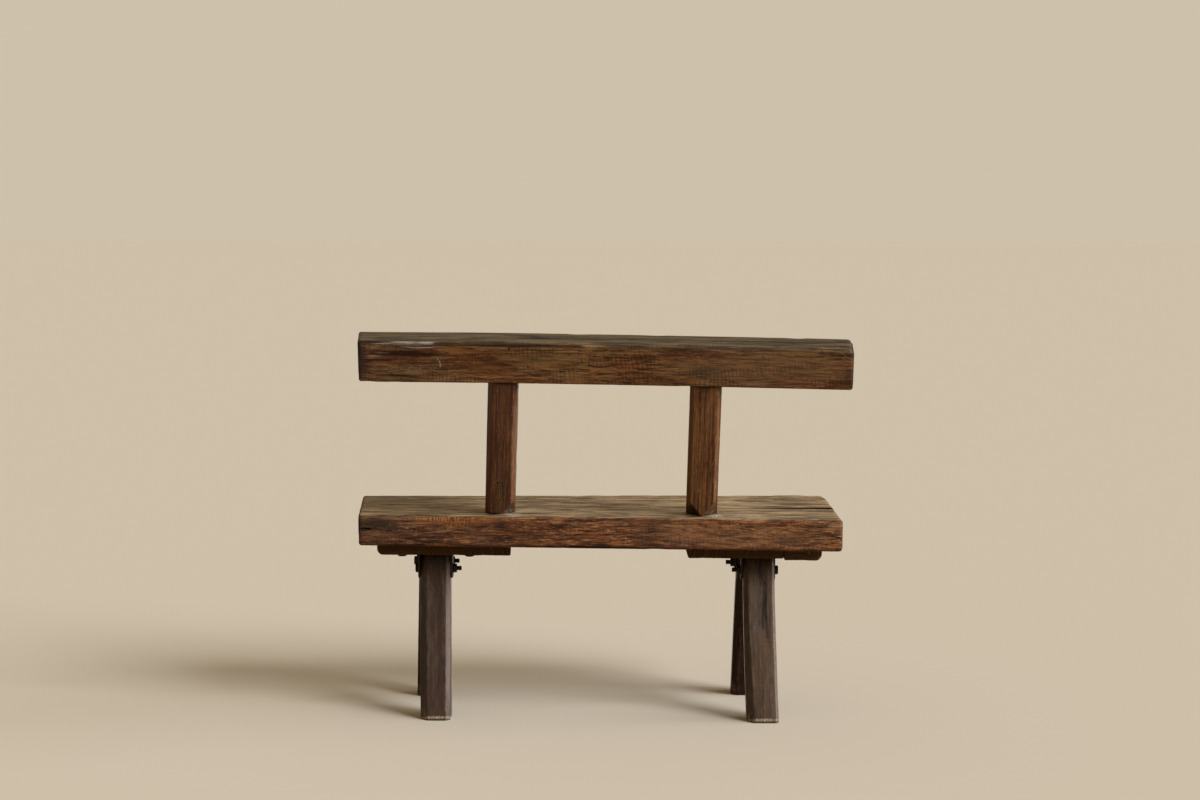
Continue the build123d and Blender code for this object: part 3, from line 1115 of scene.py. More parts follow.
LEG_WOOD = WoodFinish(
    slot="leg_timber",
    first=(66, 50, 41), second=(80, 65, 55), dark=(36, 26, 20), light=(106, 88, 76),
    blotch=(38, 27, 21), warm=(86, 60, 44), grey_dark=(60, 48, 41), grey_light=(110, 94, 84),
    worn=(116, 98, 84), end_grain=(62, 48, 38), run=(1.5, 0.9, 0.9),
    ring_width=0.004, contrast=0.35, ring_share=0.15, blotch_share=0.45, warm_share=0.25,
    fleck_share=0.35, spark_share=0.12, saw_share=0.08, worn_share=0.3, specular=0.12,
    roughness=0.28, relief=0.3,
)
RIGHT_LEG_WOOD = replace(
    LEG_WOOD, first=(80, 64, 53), second=(96, 81, 69), dark=(44, 33, 27), light=(120, 102, 90)
)
# Painted shade: a darker, redder copy of the leg wood for the front legs, which stand in the seat's shadow
SHADED_FRONT_LEG_WOOD = replace(LEG_WOOD, first=(51, 30, 18), second=(61, 40, 25), warm=(74, 45, 25), specular=0.06)
BRACKET_STEEL = SteelFinish("bracket_steel", skin=(28, 21, 11), cloud=(56, 44, 25), rust=(62, 37, 17))
FASTENER_STEEL = SteelFinish("fastener_steel", skin=(21, 16, 8), cloud=(42, 33, 18), rust=(52, 32, 15))


# Marks on the planks: place along and up or across, reach in both, then the rest of Mark's own fields
SEAT_FACE_MARKS = (
    (-0.42, 0.407, 0.18, 0.06, (222, 232, 245), 1.0, 0.2, 0.0, Coat.STAIN_AND_SHADE),
    (-0.478, 0.424, 0.066, 0.0165, (54, 44, 34), 0.95, 0.3, 0.15),
    (-0.5, 0.413, 0.05, 0.003, (36, 28, 21), 0.8, 0.3, 0.1),
    (-0.465, 0.393, 0.065, 0.014, (104, 76, 50), 0.5, 0.6, 0.5),
    (-0.448, 0.44, 0.058, 0.0022, (170, 156, 128), 0.85, 0.5, 0.4),
    (-0.318, 0.433, 0.108, 0.0085, (186, 128, 66), 0.85, 0.45, 1.0, Coat.COVER, Gaps.TICKS),
    (-0.314, 0.425, 0.112, 0.015, (140, 84, 44), 0.55, 0.6, 0.9, Coat.COVER, Gaps.TICKS),
    (-0.255, 0.401, 0.05, 0.026, (58, 42, 36), 0.5, 0.8, 0.4),
    (-0.205, 0.425, 0.022, 0.02, (50, 33, 25), 0.55, 0.8, 0.4),
    (-0.042, 0.427, 0.024, 0.008, (126, 104, 72), 0.55, 0.7, 0.6),
    (-0.035, 0.4345, 0.055, 0.0045, (44, 32, 24), 0.75, 0.6, 0.3),
    (0.042, 0.415, 0.0014, 0.0095, (40, 27, 21), 0.65, 0.2, 0.2),
    (0.014, 0.413, 0.0012, 0.0075, (42, 28, 22), 0.55, 0.2, 0.2),
    (0.052, 0.42, 0.0012, 0.006, (44, 30, 24), 0.5, 0.2, 0.2),
    (0.36, 0.418, 0.2, 0.022, (178, 128, 78), 0.5, 0.8, 1.0),
    (0.3, 0.4, 0.28, 0.034, (140, 106, 80), 0.36, 0.8, 0.6),
    (0.37, 0.439, 0.03, 0.004, (48, 40, 33), 0.85, 0.6, 0.2),
    (0.475, 0.439, 0.036, 0.003, (46, 38, 31), 0.8, 0.6, 0.2),
    (0.318, 0.438, 0.012, 0.0024, (164, 144, 116), 0.7, 0.8, 0.6),
    (0.425, 0.413, 0.03, 0.008, (60, 39, 26), 0.55, 0.8, 0.6),
    (0.33, 0.426, 0.045, 0.006, (56, 37, 26), 0.55, 0.8, 0.5),
    (0.5, 0.429, 0.022, 0.005, (186, 150, 104), 0.6, 0.8, 0.8),
    # Painted shade, with some wear, along the back face's lower edge
    (0.0, 0.3745, 0.56, 0.008, (120, 100, 84), 0.8, 0.3, 0.1, Coat.STAIN_AND_SHADE),
)
SEAT_TOP_MARKS = (
    (-0.42, 0.04, 0.2, 0.3, (212, 208, 200), 1.0, 0.2, 0.0, Coat.STAIN_AND_SHADE),
    (-0.47, 0.06, 0.06, 0.05, (58, 47, 32), 0.5, 0.7, 0.6),
    (-0.13, -0.04, 0.055, 0.03, (186, 163, 130), 0.7, 0.7, 0.7),
    (0.01, 0.16, 0.04, 0.04, (184, 160, 126), 0.65, 0.7, 0.7),
    (0.115, -0.065, 0.085, 0.06, (192, 169, 136), 0.75, 0.7, 0.75),
    (0.285, 0.09, 0.05, 0.03, (192, 169, 136), 0.75, 0.7, 0.7),
    (0.315, -0.105, 0.06, 0.045, (194, 171, 138), 0.75, 0.7, 0.75),
    (0.385, 0.0132, 0.065, 0.004, (24, 18, 12), 0.85, 0.3, 0.0),
    (0.47, 0.015, 0.07, 0.006, (24, 18, 12), 0.9, 0.3, 0.0),
    (0.42, 0.1, 0.06, 0.035, (64, 52, 36), 0.5, 0.7, 0.6),
    (0.06, 0.06, 0.09, 0.03, (70, 57, 40), 0.45, 0.7, 0.6),
    (-0.177, -0.106, 0.022, 0.03, (200, 190, 172), 0.85, 0.8, 0.9, Coat.COVER, Gaps.TICKS),
    (0.252, -0.112, 0.022, 0.036, (208, 198, 180), 0.9, 0.8, 0.9, Coat.COVER, Gaps.TICKS),
    # Painted shadow lines where the gaps open under the left side of each post's foot
    (-0.222, -0.103, 0.028, 0.012, (26, 19, 13), 0.85, 0.5, 0.0),
    (0.208, -0.118, 0.028, 0.013, (26, 19, 13), 0.85, 0.5, 0.0),
)
RAIL_MARKS = (
    (-0.43, 0.044, 0.16, 0.07, (238, 242, 255), 1.0, 0.2, 0.0, Coat.STAIN_AND_SHADE),
    (0.32, 0.044, 0.26, 0.06, (130, 104, 78), 0.38, 0.6, 0.4),
    (-0.512, 0.044, 0.03, 0.06, (46, 39, 38), 0.85, 0.6, 0.2),
    (-0.412, 0.063, 0.098, 0.012, (44, 22, 13), 1.0, 0.5, 0.1),
    (-0.49, 0.0868, 0.055, 0.0028, (30, 22, 16), 0.9, 0.5, 0.2),
    (-0.47, 0.049, 0.045, 0.0026, (40, 25, 17), 0.75, 0.5, 0.2),
    (-0.41, 0.0795, 0.055, 0.002, (56, 30, 19), 0.75, 0.5, 0.2),
    (-0.405, 0.028, 0.062, 0.014, (150, 124, 96), 0.42, 0.8, 0.9, Coat.COVER, Gaps.CRUMBS),
    (-0.418, 0.007, 0.095, 0.006, (110, 90, 58), 0.55, 0.6, 0.5),
    (-0.435, 0.015, 0.065, 0.0036, (36, 25, 17), 0.8, 0.6, 0.2),
    (-0.305, 0.072, 0.05, 0.01, (138, 92, 46), 0.65, 0.6, 0.5),
    (-0.29, 0.056, 0.04, 0.006, (110, 62, 28), 0.55, 0.6, 0.4),
    (-0.25, 0.032, 0.09, 0.022, (86, 46, 22), 0.55, 0.6, 0.3),
    (-0.13, 0.058, 0.14, 0.02, (116, 92, 56), 0.5, 0.7, 0.5),
    (-0.19, 0.0845, 0.165, 0.006, (42, 34, 24), 0.85, 0.5, 0.2),
    (-0.018, 0.085, 0.034, 0.003, (172, 132, 84), 0.9, 0.6, 0.6),
    (-0.05, 0.009, 0.055, 0.004, (134, 84, 42), 0.6, 0.6, 0.5),
    (0.12, 0.022, 0.1, 0.016, (122, 84, 50), 0.35, 0.8, 0.9, Coat.COVER, Gaps.TICKS),
    (0.245, 0.086, 0.055, 0.005, (54, 46, 36), 0.75, 0.6, 0.4),
    (0.24, 0.0905, 0.05, 0.0014, (146, 128, 100), 0.7, 0.6, 0.6),
    (0.268, 0.0865, 0.02, 0.0012, (140, 120, 92), 0.65, 0.6, 0.6),
    (0.47, 0.088, 0.045, 0.002, (166, 132, 86), 0.9, 0.6, 0.5),
    (0.455, 0.0865, 0.06, 0.0018, (46, 37, 27), 0.8, 0.6, 0.3),
    (0.49, 0.05, 0.035, 0.03, (104, 62, 38), 0.4, 0.7, 0.7),
    (0.508, 0.024, 0.014, 0.03, (54, 38, 27), 0.65, 0.5, 0.2),
    (-0.4, 0.0845, 0.05, 0.0016, (178, 172, 170), 0.5, 0.6, 0.8),
    (-0.378, 0.0868, 0.034, 0.0013, (188, 184, 184), 0.45, 0.6, 0.7),
    (-0.362, 0.0888, 0.024, 0.0012, (184, 180, 180), 0.45, 0.6, 0.7),
    (-0.43, 0.0815, 0.04, 0.0012, (150, 142, 136), 0.45, 0.6, 0.8),
    (-0.415, 0.0755, 0.05, 0.0015, (160, 148, 142), 0.45, 0.6, 0.8),
    (-0.395, 0.0725, 0.04, 0.0011, (140, 124, 112), 0.45, 0.6, 0.8),
    (-0.49, 0.078, 0.022, 0.0017, (160, 152, 144), 0.7, 0.6, 0.6),
    (-0.48, 0.056, 0.024, 0.0019, (164, 152, 136), 0.7, 0.6, 0.6),
    (-0.462, 0.064, 0.02, 0.0015, (150, 134, 118), 0.65, 0.6, 0.6),
)

# Thin lines on the back faces, each from end to end: drying checks, scratches and scuffs
CHECK_COLOUR: Colour = (30, 20, 14)
SEAT_CHECKS = (
    ((-0.516, 0.4118), (-0.44, 0.4066), 0.0026, 0.9),
    ((-0.192, 0.4265), (-0.118, 0.4195), 0.0012, 0.75),
    ((-0.175, 0.418), (-0.128, 0.412), 0.001, 0.6),
    ((-0.05, 0.4), (-0.02, 0.3965), 0.001, 0.6),
    ((0.395, 0.416), (0.47, 0.41), 0.0013, 0.75),
)
RAIL_CURL = ((-0.3486, 0.0538), (-0.344, 0.0488), (-0.3418, 0.0415), (-0.3423, 0.0345))
RAIL_TICKS = (
    ((0.494, 0.086), (0.508, 0.078)),
    ((0.486, 0.08), (0.504, 0.069)),
    ((0.489, 0.071), (0.503, 0.06)),
)
RAIL_SCUFFS = (
    ((-0.445, 0.0866), (-0.385, 0.0872), 0.8),
    ((-0.388, 0.086), (-0.353, 0.088), 0.95),
    ((-0.378, 0.0842), (-0.356, 0.085), 0.75),
    ((-0.484, 0.0832), (-0.44, 0.085), 0.65),
    ((-0.394, 0.0768), (-0.353, 0.0776), 0.75),
    ((-0.428, 0.0785), (-0.396, 0.077), 0.6),
    ((-0.501, 0.056), (-0.47, 0.0573), 0.65),
)

# Stains on the back legs, and painted shade down the left leg's left chamfer: height, place across, reach
# along it and across it, colour, strength
LEFT_LEG_CHAMFER_SHADE = ((0.17, -0.03, 0.26, 0.011, (40, 27, 15), 0.75),)
RIGHT_LEG_STAINS = (
    (0.315, 0.003, 0.044, 0.007, (22, 17, 15), 0.85),
    (0.262, 0.0135, 0.06, 0.009, (22, 17, 15), 0.9),
    (0.226, 0.008, 0.055, 0.007, (24, 19, 17), 0.8),
    (0.2, 0.0155, 0.05, 0.008, (22, 17, 15), 0.85),
    (0.236, 0.0185, 0.06, 0.0028, (126, 106, 92), 0.5),
    (0.3, 0.0225, 0.03, 0.006, (124, 102, 88), 0.5),
    (0.15, 0.01, 0.04, 0.013, (106, 76, 46), 0.4),
    (0.1, 0.0, 0.085, 0.03, (102, 80, 58), 0.35),
)


# Timbers


@dataclass(frozen=True)
class Wear:
    """How far a timber's surface has left its sawn shape."""

    swell: float = 0.0007
    ridge: float = 0.00045
    nibble: float = 0.0014

    def depths(self, points: Array, edges: Array, exposure: Array, seed: float) -> Array:
        """Works out how far each point stands out of the sawn surface, or in if below zero.

        Args:
            points: Places in the timber's own coordinates, grain along X.
            edges: Distances from the nearest edge.
            exposure: Share of weather at each place.
            seed: Shift that makes this timber its own.

        Returns:
            The distances along the surface normal.
        """
        waves = grain_noise(points, (5.0, 17.0, 17.0), seed)
        ridges = grain_noise(points, (9.0, 230.0, 230.0), seed + 5.3)
        bites = grain_noise(points, (21.0, 40.0, 40.0), seed + 11.9)
        nibbles = np.exp(-edges / EDGE_REACH) * np.clip(1.9 * bites - 0.35, 0.0, 1.0)
        proud = self.swell * waves + self.ridge * ridges * (0.3 + 0.7 * exposure)
        return proud - self.nibble * nibbles


@dataclass
class Timber:
    """One timber of the bench, which stands in for its plain solid."""

    node: str
    seed: float
    finish: WoodFinish
    wear: Wear = Wear()

    def knot(self) -> Point:
        """Gives the knot's place in the bench's coordinates: by default, nowhere on the timber."""
        return NO_KNOT

    def billet(self) -> Billet:
        """Gives the timber's lofted shape, in its own coordinates."""
        raise NotImplementedError

    def grain_frame(self) -> Matrix:
        """Gives the frame whose X axis is the pith that the growth rings go round."""
        raise NotImplementedError

    def place(self, points: Array) -> Array:
        """Takes the timber's own coordinates to the bench's."""
        raise NotImplementedError

    def shape(self, points: Array) -> Array:
        """Bends and trims the lofted shape, in its own coordinates."""
        return points

    def settle(self, worn: Array, sawn: Array) -> Array:
        """Keeps the worn points on what the timber stands against, from where they were sawn."""
        return worn

    def weathered(self, points: Array, normals: Array) -> Array:
        """Gives the share of weather at each place: by default, none."""
        return np.zeros(len(points))

    def dents(self) -> list[Dent]:
        """Lists the timber's dents."""
        return []

    def cuts(self) -> list[Cut]:
        """Lists what is cut out of the timber."""
        return []

    def marks(self) -> list[Mark]:
        """Lists the timber's patches of colour, in the bench's coordinates."""
        return []

    def build(self) -> Object:
        """Builds the worn timber, dresses it and puts it in place of its solid.

        Returns:
            The timber's object.
        """
        surface = self.billet().loft()
        own = self.shape(surface.points)
        mesh = bpy.data.meshes.new(f"{self.node}_worn")
        sawn = self.place(own)
        mesh.from_pydata(sawn.tolist(), [], surface.quads.tolist())
        normals = np.empty(len(own) * 3, np.float32)
        mesh.vertex_normals.foreach_get("vector", normals)
        normals = normals.reshape(-1, 3).astype(float)
        exposure = self.weathered(own, normals)
        depths = self.wear.depths(own, surface.edges, exposure, self.seed)
        dented = sawn + normals * depths[:, None] + sum(dent.moves(sawn) for dent in self.dents())
        worn = self.settle(dented, sawn)
        mesh.vertices.foreach_set("co", worn.astype(np.float32).ravel())
        pith = self.grain_frame().inverted()
        along = normals @ np.array(pith)[0, :3]
        store(mesh, "grain", transform(pith, worn))
        store(mesh, "arris", np.exp(-surface.edges / EDGE_REACH))
        store(mesh, "exposure", exposure)
        store(mesh, "butt", smoothstep(np.abs(along), 0.35, 0.7))
        marks = [replace(mark, at=tuple(pith @ Vector(mark.at))) for mark in self.marks()]
        knot = tuple(pith @ Vector(self.knot()))
        mesh.materials.append(self.finish.material(f"{self.node}_wood", self.seed, marks, knot))
        mesh.materials.append(self.finish.crevice(f"{self.node}_crevice"))
        piece = link_object(f"{self.node}_worn", mesh)
        carve(piece, self.cuts())
        self.trim(piece)
        smooth(piece.data)
        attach(piece, BODY)
        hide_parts(self.node)
        LOG.info("%s: %d faces", piece.name, len(piece.data.polygons))
        return piece

    def trim(self, piece: Object) -> None:
        """Saws facets off the finished timber: by default, none."""


def store(mesh: Mesh, name: str, values: Array) -> None:
    """Stores a value, or a vector, for each point of a mesh."""
    kind, key = ("FLOAT", "value") if values.ndim == 1 else ("FLOAT_VECTOR", "vector")
    mesh.attributes.new(name, kind, "POINT").data.foreach_set(key, values.astype(np.float32).ravel())


def smooth(mesh: Mesh) -> None:
    """Shades a mesh smooth, apart from its sharp edges.

    Args:
        mesh: The mesh.
    """
    mesh.polygons.foreach_set("use_smooth", np.ones(len(mesh.polygons), bool))
    mesh.set_sharp_from_angle(angle=math.radians(SHARP_ANGLE))
    mesh.update()


def carve(piece: Object, cuts: Sequence[Cut]) -> None:
    """Takes cuts out of a timber, and gives their faces its second material.

    Args:
        piece: The timber.
        cuts: What is cut out of it.
    """
    for cut in cuts:
        points, faces = cut.mesh()
        tool_mesh = bpy.data.meshes.new("cut")
        tool_mesh.from_pydata(points.tolist(), [], faces)
        for material in piece.data.materials:
            tool_mesh.materials.append(material)
        tool_mesh.polygons.foreach_set("material_index", np.ones(len(faces), np.int32))
        outward = bmesh.new()
        outward.from_mesh(tool_mesh)
        bmesh.ops.recalc_face_normals(outward, faces=outward.faces)
        outward.to_mesh(tool_mesh)
        outward.free()
        tool = link_object("cut", tool_mesh)
        modifier = piece.modifiers.new("cut", "BOOLEAN")
        modifier.operation = "DIFFERENCE"
        modifier.solver = "MANIFOLD"
        modifier.object = tool
        graph = bpy.context.evaluated_depsgraph_get()
        piece_mesh = bpy.data.meshes.new_from_object(piece.evaluated_get(graph))
        piece.modifiers.clear()
        old = piece.data
        piece_mesh.name = old.name
        piece.data = piece_mesh
        bpy.data.meshes.remove(old)
        bpy.data.objects.remove(tool)
        bpy.data.meshes.remove(tool_mesh)


@dataclass
class SeatSlab(Timber):
    """The seat: one thick plank, wider at its right end, weathered grey on top."""

    back_length: float = 1.023
    left_depth: float = 0.286
    right_depth: float = 0.378
    left_skew: float = 0.024
    right_skew: float = 0.012
    edge_round: float = 0.003
    end_round: float = 0.007
    worn_corner: float = 0.01
    proud: float = 0.0008
    worn_length: float = 0.2
    crack_step: float = 0.002
    crack_reach: float = 0.06
    end_shift: float = 0.002

    @staticmethod
    def back_edge_middle() -> float:
        """Gives where the middle of the seat's back edge is, from the bench's middle."""
        return -(SeatSlab.left_depth + SeatSlab.right_depth) / 4

    def corners(self) -> Array:
        """Lists the plan's corners: back left, back right, front right, front left.

        Returns:
            The corners, one row each.
        """
        half = self.back_length / 2
        plan = np.array((
            (-half, -self.left_depth / 2),
            (half, -self.right_depth / 2),
            (half - self.right_skew, self.right_depth / 2),
            (-half - self.left_skew, self.left_depth / 2),
        ))
        return plan + np.array(BENCH_MIDDLE[:2])

    def billet(self) -> Billet:
        """Lofts the plank from its left end."""
        return Billet(self.back_length, self.section, (self.end_round, self.end_round))

    def section(self, share: float) -> Squared:
        """Gives the cross-section, with a heavily worn corner on the back's left.

        Args:
            share: Share of the plank's length.

        Returns:
            The cross-section.
        """
        worn = float(smoothstep(np.array(share * self.back_length), self.worn_length, 0.0))
        near_top = self.edge_round + (self.worn_corner - self.edge_round) * worn
        depth = self.left_depth + (self.right_depth - self.left_depth) * share
        chamfers = (self.edge_round * 1.6, self.edge_round, self.edge_round * 0.6, near_top)
        return Squared(depth, SEAT_TOP - SEAT_UNDERSIDE + 2 * self.proud, chamfers)

    def crack_line(self) -> tuple[Point, ...]:
        """Gives the long crack's line on the top, running out of the right end."""
        spots = ((0.27, 0.004), (0.355, 0.012), (0.44, 0.0155), (0.53, 0.013))
        return tuple((x, y, SEAT_TOP) for x, y in spots)

    def settle(self, worn: Array, sawn: Array) -> Array:
        """Lets the top sink a little on the crack's near side.

        Args:
            worn: The worn points.
            sawn: The same points as sawn.

        Returns:
            The settled points.
        """
        line = np.array(self.crack_line())
        behind = np.interp(sawn[:, 0], line[:, 0], line[:, 1]) - sawn[:, 1]
        sunk = smoothstep(behind, self.crack_reach, 0.0) * (behind > 0)
        sunk = sunk * smoothstep(sawn[:, 0], line[0, 0], line[2, 0]) * (sawn[:, 2] > SEAT_TOP - 0.004)
        return worn - np.outer(sunk * self.crack_step, (0, 0, 1))

    def place(self, points: Array) -> Array:
        """Lays the plank on its skewed plan.

        Args:
            points: Places in the timber's own coordinates.

        Returns:
            The same places on the bench.
        """
        share = points[:, 0] / self.back_length
        depth = self.left_depth + (self.right_depth - self.left_depth) * share
        across = points[:, 1] / depth + 0.5
        back_left, back_right, front_right, front_left = self.corners()
        left = back_left + (front_left - back_left) * across[:, None]
        right = back_right + (front_right - back_right) * across[:, None]
        plan = left + (right - left) * share[:, None] + np.array((self.end_shift, 0.0))
        return np.column_stack((plan, points[:, 2] + (SEAT_TOP + SEAT_UNDERSIDE) / 2))

    def grain_frame(self) -> Matrix:
        """Puts the pith under the plank, towards the front."""
        pith = (BENCH_MIDDLE.x, BENCH_MIDDLE.y + 0.05, SEAT_UNDERSIDE - 0.09)
        return frame_from(pith, Vector((1, 0, 0)), Vector((0, 1, 0)))

    def weathered(self, points: Array, normals: Array) -> Array:
        """Greys the top, right up to its edges."""
        return smoothstep(normals[:, 2], 0.6, 0.95)

    def knot(self) -> Point:
        """Puts a knot in the back face, left of the left post."""
        return (-0.262, -0.126, 0.392)

    def cuts(self) -> list[Cut]:
        """Cuts the cracks in the top, the checks in the back face and the chip from its right corner.

        Returns:
            The cuts.
        """
        return [
            Crack(self.crack_line(), (0.0012, 0.0045, 0.008, 0.015), 0.03, (0.0, 0.15, -1.0), jag=0.002),
            Crack(
                ((0.466, -0.161, 0.4105), (0.493, -0.162, 0.4063), (0.53, -0.163, 0.4005)),
                (0.0005, 0.0016, 0.0036), 0.02, (0.0, 1.0, -0.1),
            ),
            Crack(
                ((-0.53, -0.114, 0.4125), (-0.4713, -0.1176, 0.4101), (-0.428, -0.1195, 0.4055)),
                (0.0046, 0.003, 0.0006), 0.014, (0.0, 1.0, 0.05),
            ),
            Crack(
                ((-0.1145, -0.133, 0.4191), (-0.082, -0.1345, 0.4095), (-0.049, -0.136, 0.4)),
                (0.0005, 0.0016, 0.0006), 0.006, (0.0, 1.0, 0.0), jag=0.0006,
            ),
            Crack(
                ((-0.525, 0.04, SEAT_TOP), (-0.45, 0.036, SEAT_TOP), (-0.36, 0.038, SEAT_TOP)),
                (0.003, 0.0022, 0.0005), 0.012, (0.0, 0.1, -1.0),
            ),
            Chip((0.5195, -0.162, 0.433), (0.012, 0.01, 0.018)),
        ]

    def dents(self) -> list[Dent]:
        """Lists the worn front corner and the hollows rubbed into the back edge.

        Returns:
            The dents.
        """
        front_right = self.corners()[2]
        pale_edge = ((-0.36, 0.1, 0.003), (-0.1, 0.12, 0.0022), (0.33, 0.09, 0.0022), (0.47, 0.05, 0.003))
        worn = [Dent((*front_right, SEAT_TOP), (0.06, 0.06, 0.2), (-0.004, -0.008, 0.0))]
        return worn + [
            Dent(self.on_back(x, SEAT_TOP), (reach, 0.012, 0.01), (0.0, depth, -depth * 0.6))
            for x, reach, depth in pale_edge
        ]

    def on_back(self, along: float, height: float) -> Point:
        """Gives a place on the seat's back face in the bench's coordinates.

        Args:
            along: Place along the bench.
            height: Height above the floor.

        Returns:
            The place.
        """
        back_left, back_right = self.corners()[:2]
        share = (along - back_left[0]) / (back_right[0] - back_left[0])
        return (along, back_left[1] + (back_right[1] - back_left[1]) * share, height)

    def marks(self) -> list[Mark]:
        """Lists the seat's stains, bare specks and old filler at the posts' feet, the painted shadow lines
        under the posts' feet and the painted shade, with some wear, along the back face's lower edge.

        Returns:
            The marks.
        """
        checks = [
            scratch(self.on_back, (start, stop), width, CHECK_COLOUR, strength, 0.3)
            for start, stop, width, strength in SEAT_CHECKS
        ]
        face = [
            Mark(self.on_back(x, z), (reach, 0.014, rise), *look)
            for x, z, reach, rise, *look in SEAT_FACE_MARKS
        ]
        top = [
            Mark((x, y, SEAT_TOP), (reach, depth, 0.006), *look)
            for x, y, reach, depth, *look in SEAT_TOP_MARKS
        ]
        return checks + face + top


@dataclass
class BackRail(Timber):
    """The back rail: a thick plank on edge, bowed up a little in the middle."""

    length: float = 1.029
    height: float = 0.0875
    thickness: float = 0.067
    offset: float = 0.016
    edge_round: float = 0.004
    end_round: float = 0.006
    proud: float = 0.0014
    bow: float = 0.0023
    worn_end: float = 0.013
    left_skew: float = 0.007
    skew_reach: float = 0.09
    darkening: float = 0.62
    grime_low: float = 0.013
    grime_high: float = 0.002

    def frame(self) -> Matrix:
        """Gives the rail's frame, at the middle of its underside.

        Returns:
            The frame, as a matrix.
        """
        rise = RAIL_RISE - self.offset * math.tan(math.radians(RAIL_SLOPE))
        place = Matrix.Translation((self.offset, POST_DEPTH / 2, rise))
        return back_frame() @ place @ rotation(RAIL_SLOPE, "Y")

    def billet(self) -> Billet:
        """Lofts the plank from its left end.

        Returns:
            The lofted shape.
        """
        soft = self.edge_round
        chamfers = (soft * 0.5, soft * 0.6, soft * 0.5, soft)
        section = Squared(self.thickness, self.height + 2 * self.proud, chamfers)
        return Billet(self.length, lambda share: section, (self.end_round, self.end_round))

    def shape(self, points: Array) -> Array:
        """Bows the plank, rounds off the top of its right end and skews its left end.

        Args:
            points: Places in the timber's own coordinates.

        Returns:
            The moved places.
        """
        bent = points - np.array((self.length / 2, 0.0, -self.height / 2))
        centre = np.array((self.length / 2 - self.worn_end, self.height - self.worn_end))
        corner = bent[:, (0, 2)] - centre
        inside = (corner > 0).all(axis=1)
        far = corner[inside].max(axis=1) / np.linalg.norm(corner[inside], axis=1)
        bent[np.ix_(inside, (0, 2))] = centre + corner[inside] * far[:, None]
        bent[:, 2] += self.bow * (1 - (2 * bent[:, 0] / self.length) ** 2)
        skewed = smoothstep(bent[:, 0] + self.length / 2, self.skew_reach, 0.0)
        bent[:, 0] -= self.left_skew * skewed * (bent[:, 1] / self.thickness + 0.5)
        return bent

    def place(self, points: Array) -> Array:
        """Sets the rail on the posts."""
        return transform(self.frame(), points)

    def grain_frame(self) -> Matrix:
        """Puts the pith in front of the rail and below it."""
        return self.frame() @ Matrix.Translation((0.0, 0.085, 0.02))

    def weathered(self, points: Array, normals: Array) -> Array:
        """Greys the top face, and dirties the back face raggedly just under its upper edge.

        Args:
            points: Places in the timber's own coordinates.
            normals: Which way the places face.

        Returns:
            The share of weather.
        """
        low, high = self.height - self.grime_low, self.height - self.grime_high
        under = self.darkening * smoothstep(points[:, 2], low, high)
        return np.maximum(smoothstep(normals[:, 2], 0.5, 0.9), under * (normals[:, 1] < -0.3))

    def knot(self) -> Point:
        """Puts a small knot in the middle of the back face."""
        return self.on_back(0.006, 0.06)

    def dents(self) -> list[Dent]:
        """Lists the splinters lost from the upper edge of the back face.

        Returns:
            The dents.
        """
        lost = ((-0.018, 0.034, 0.0035), (0.245, 0.05, 0.002), (0.47, 0.045, 0.0025), (-0.4, 0.06, 0.002))
        return [
            Dent(self.on_back(x, self.height), (reach, 0.012, 0.01), (0.0, depth, -depth * 0.6))
            for x, reach, depth in lost
        ]

    def on_back(self, along: float, up: float) -> Point:
        """Gives a place on the rail's back face in the bench's coordinates."""
        return tuple(self.frame() @ Vector((along, -self.thickness / 2, up)))

    def cuts(self) -> list[Cut]:
        """Cuts the nail holes and the nick under the rail.

        Returns:
            The cuts.
        """
        into = tuple(self.frame().to_3x3() @ Vector((0.0, 1.0, 0.0)))
        turn = self.frame().to_3x3().to_4x4()
        holes = [(-0.198, 0.0767, 0.0022), (-0.2755, 0.0492, 0.0016), (-0.2588, 0.0495, 0.0015)]
        cuts: list[Cut] = [NailHole(self.on_back(x, z), into, radius) for x, z, radius in holes]
        cuts.append(Chip(self.on_back(-0.1425, -0.001), (0.014, 0.02, 0.006), turn))
        return cuts

    def marks(self) -> list[Mark]:
        """Lists the rail's scuffs, dark bands and bare patches on its back face.

        Returns:
            The marks.
        """
        lines = [
            scratch(self.on_back, ends, 0.0016, (182, 170, 156), strength)
            for ends, strength in zip(zip(RAIL_CURL, RAIL_CURL[1:]), (0.5, 0.75, 0.9))
        ]
        lines += [scratch(self.on_back, ends, 0.0013, (128, 100, 70), 0.7) for ends in RAIL_TICKS]
        lines += [
            scratch(self.on_back, (start, stop), 0.001, (190, 184, 178), strength, 0.3)
            for start, stop, strength in RAIL_SCUFFS
        ]
        return lines + [
            Mark(self.on_back(x, z), (reach, 0.012, rise), *look)
            for x, z, reach, rise, *look in RAIL_MARKS
        ]


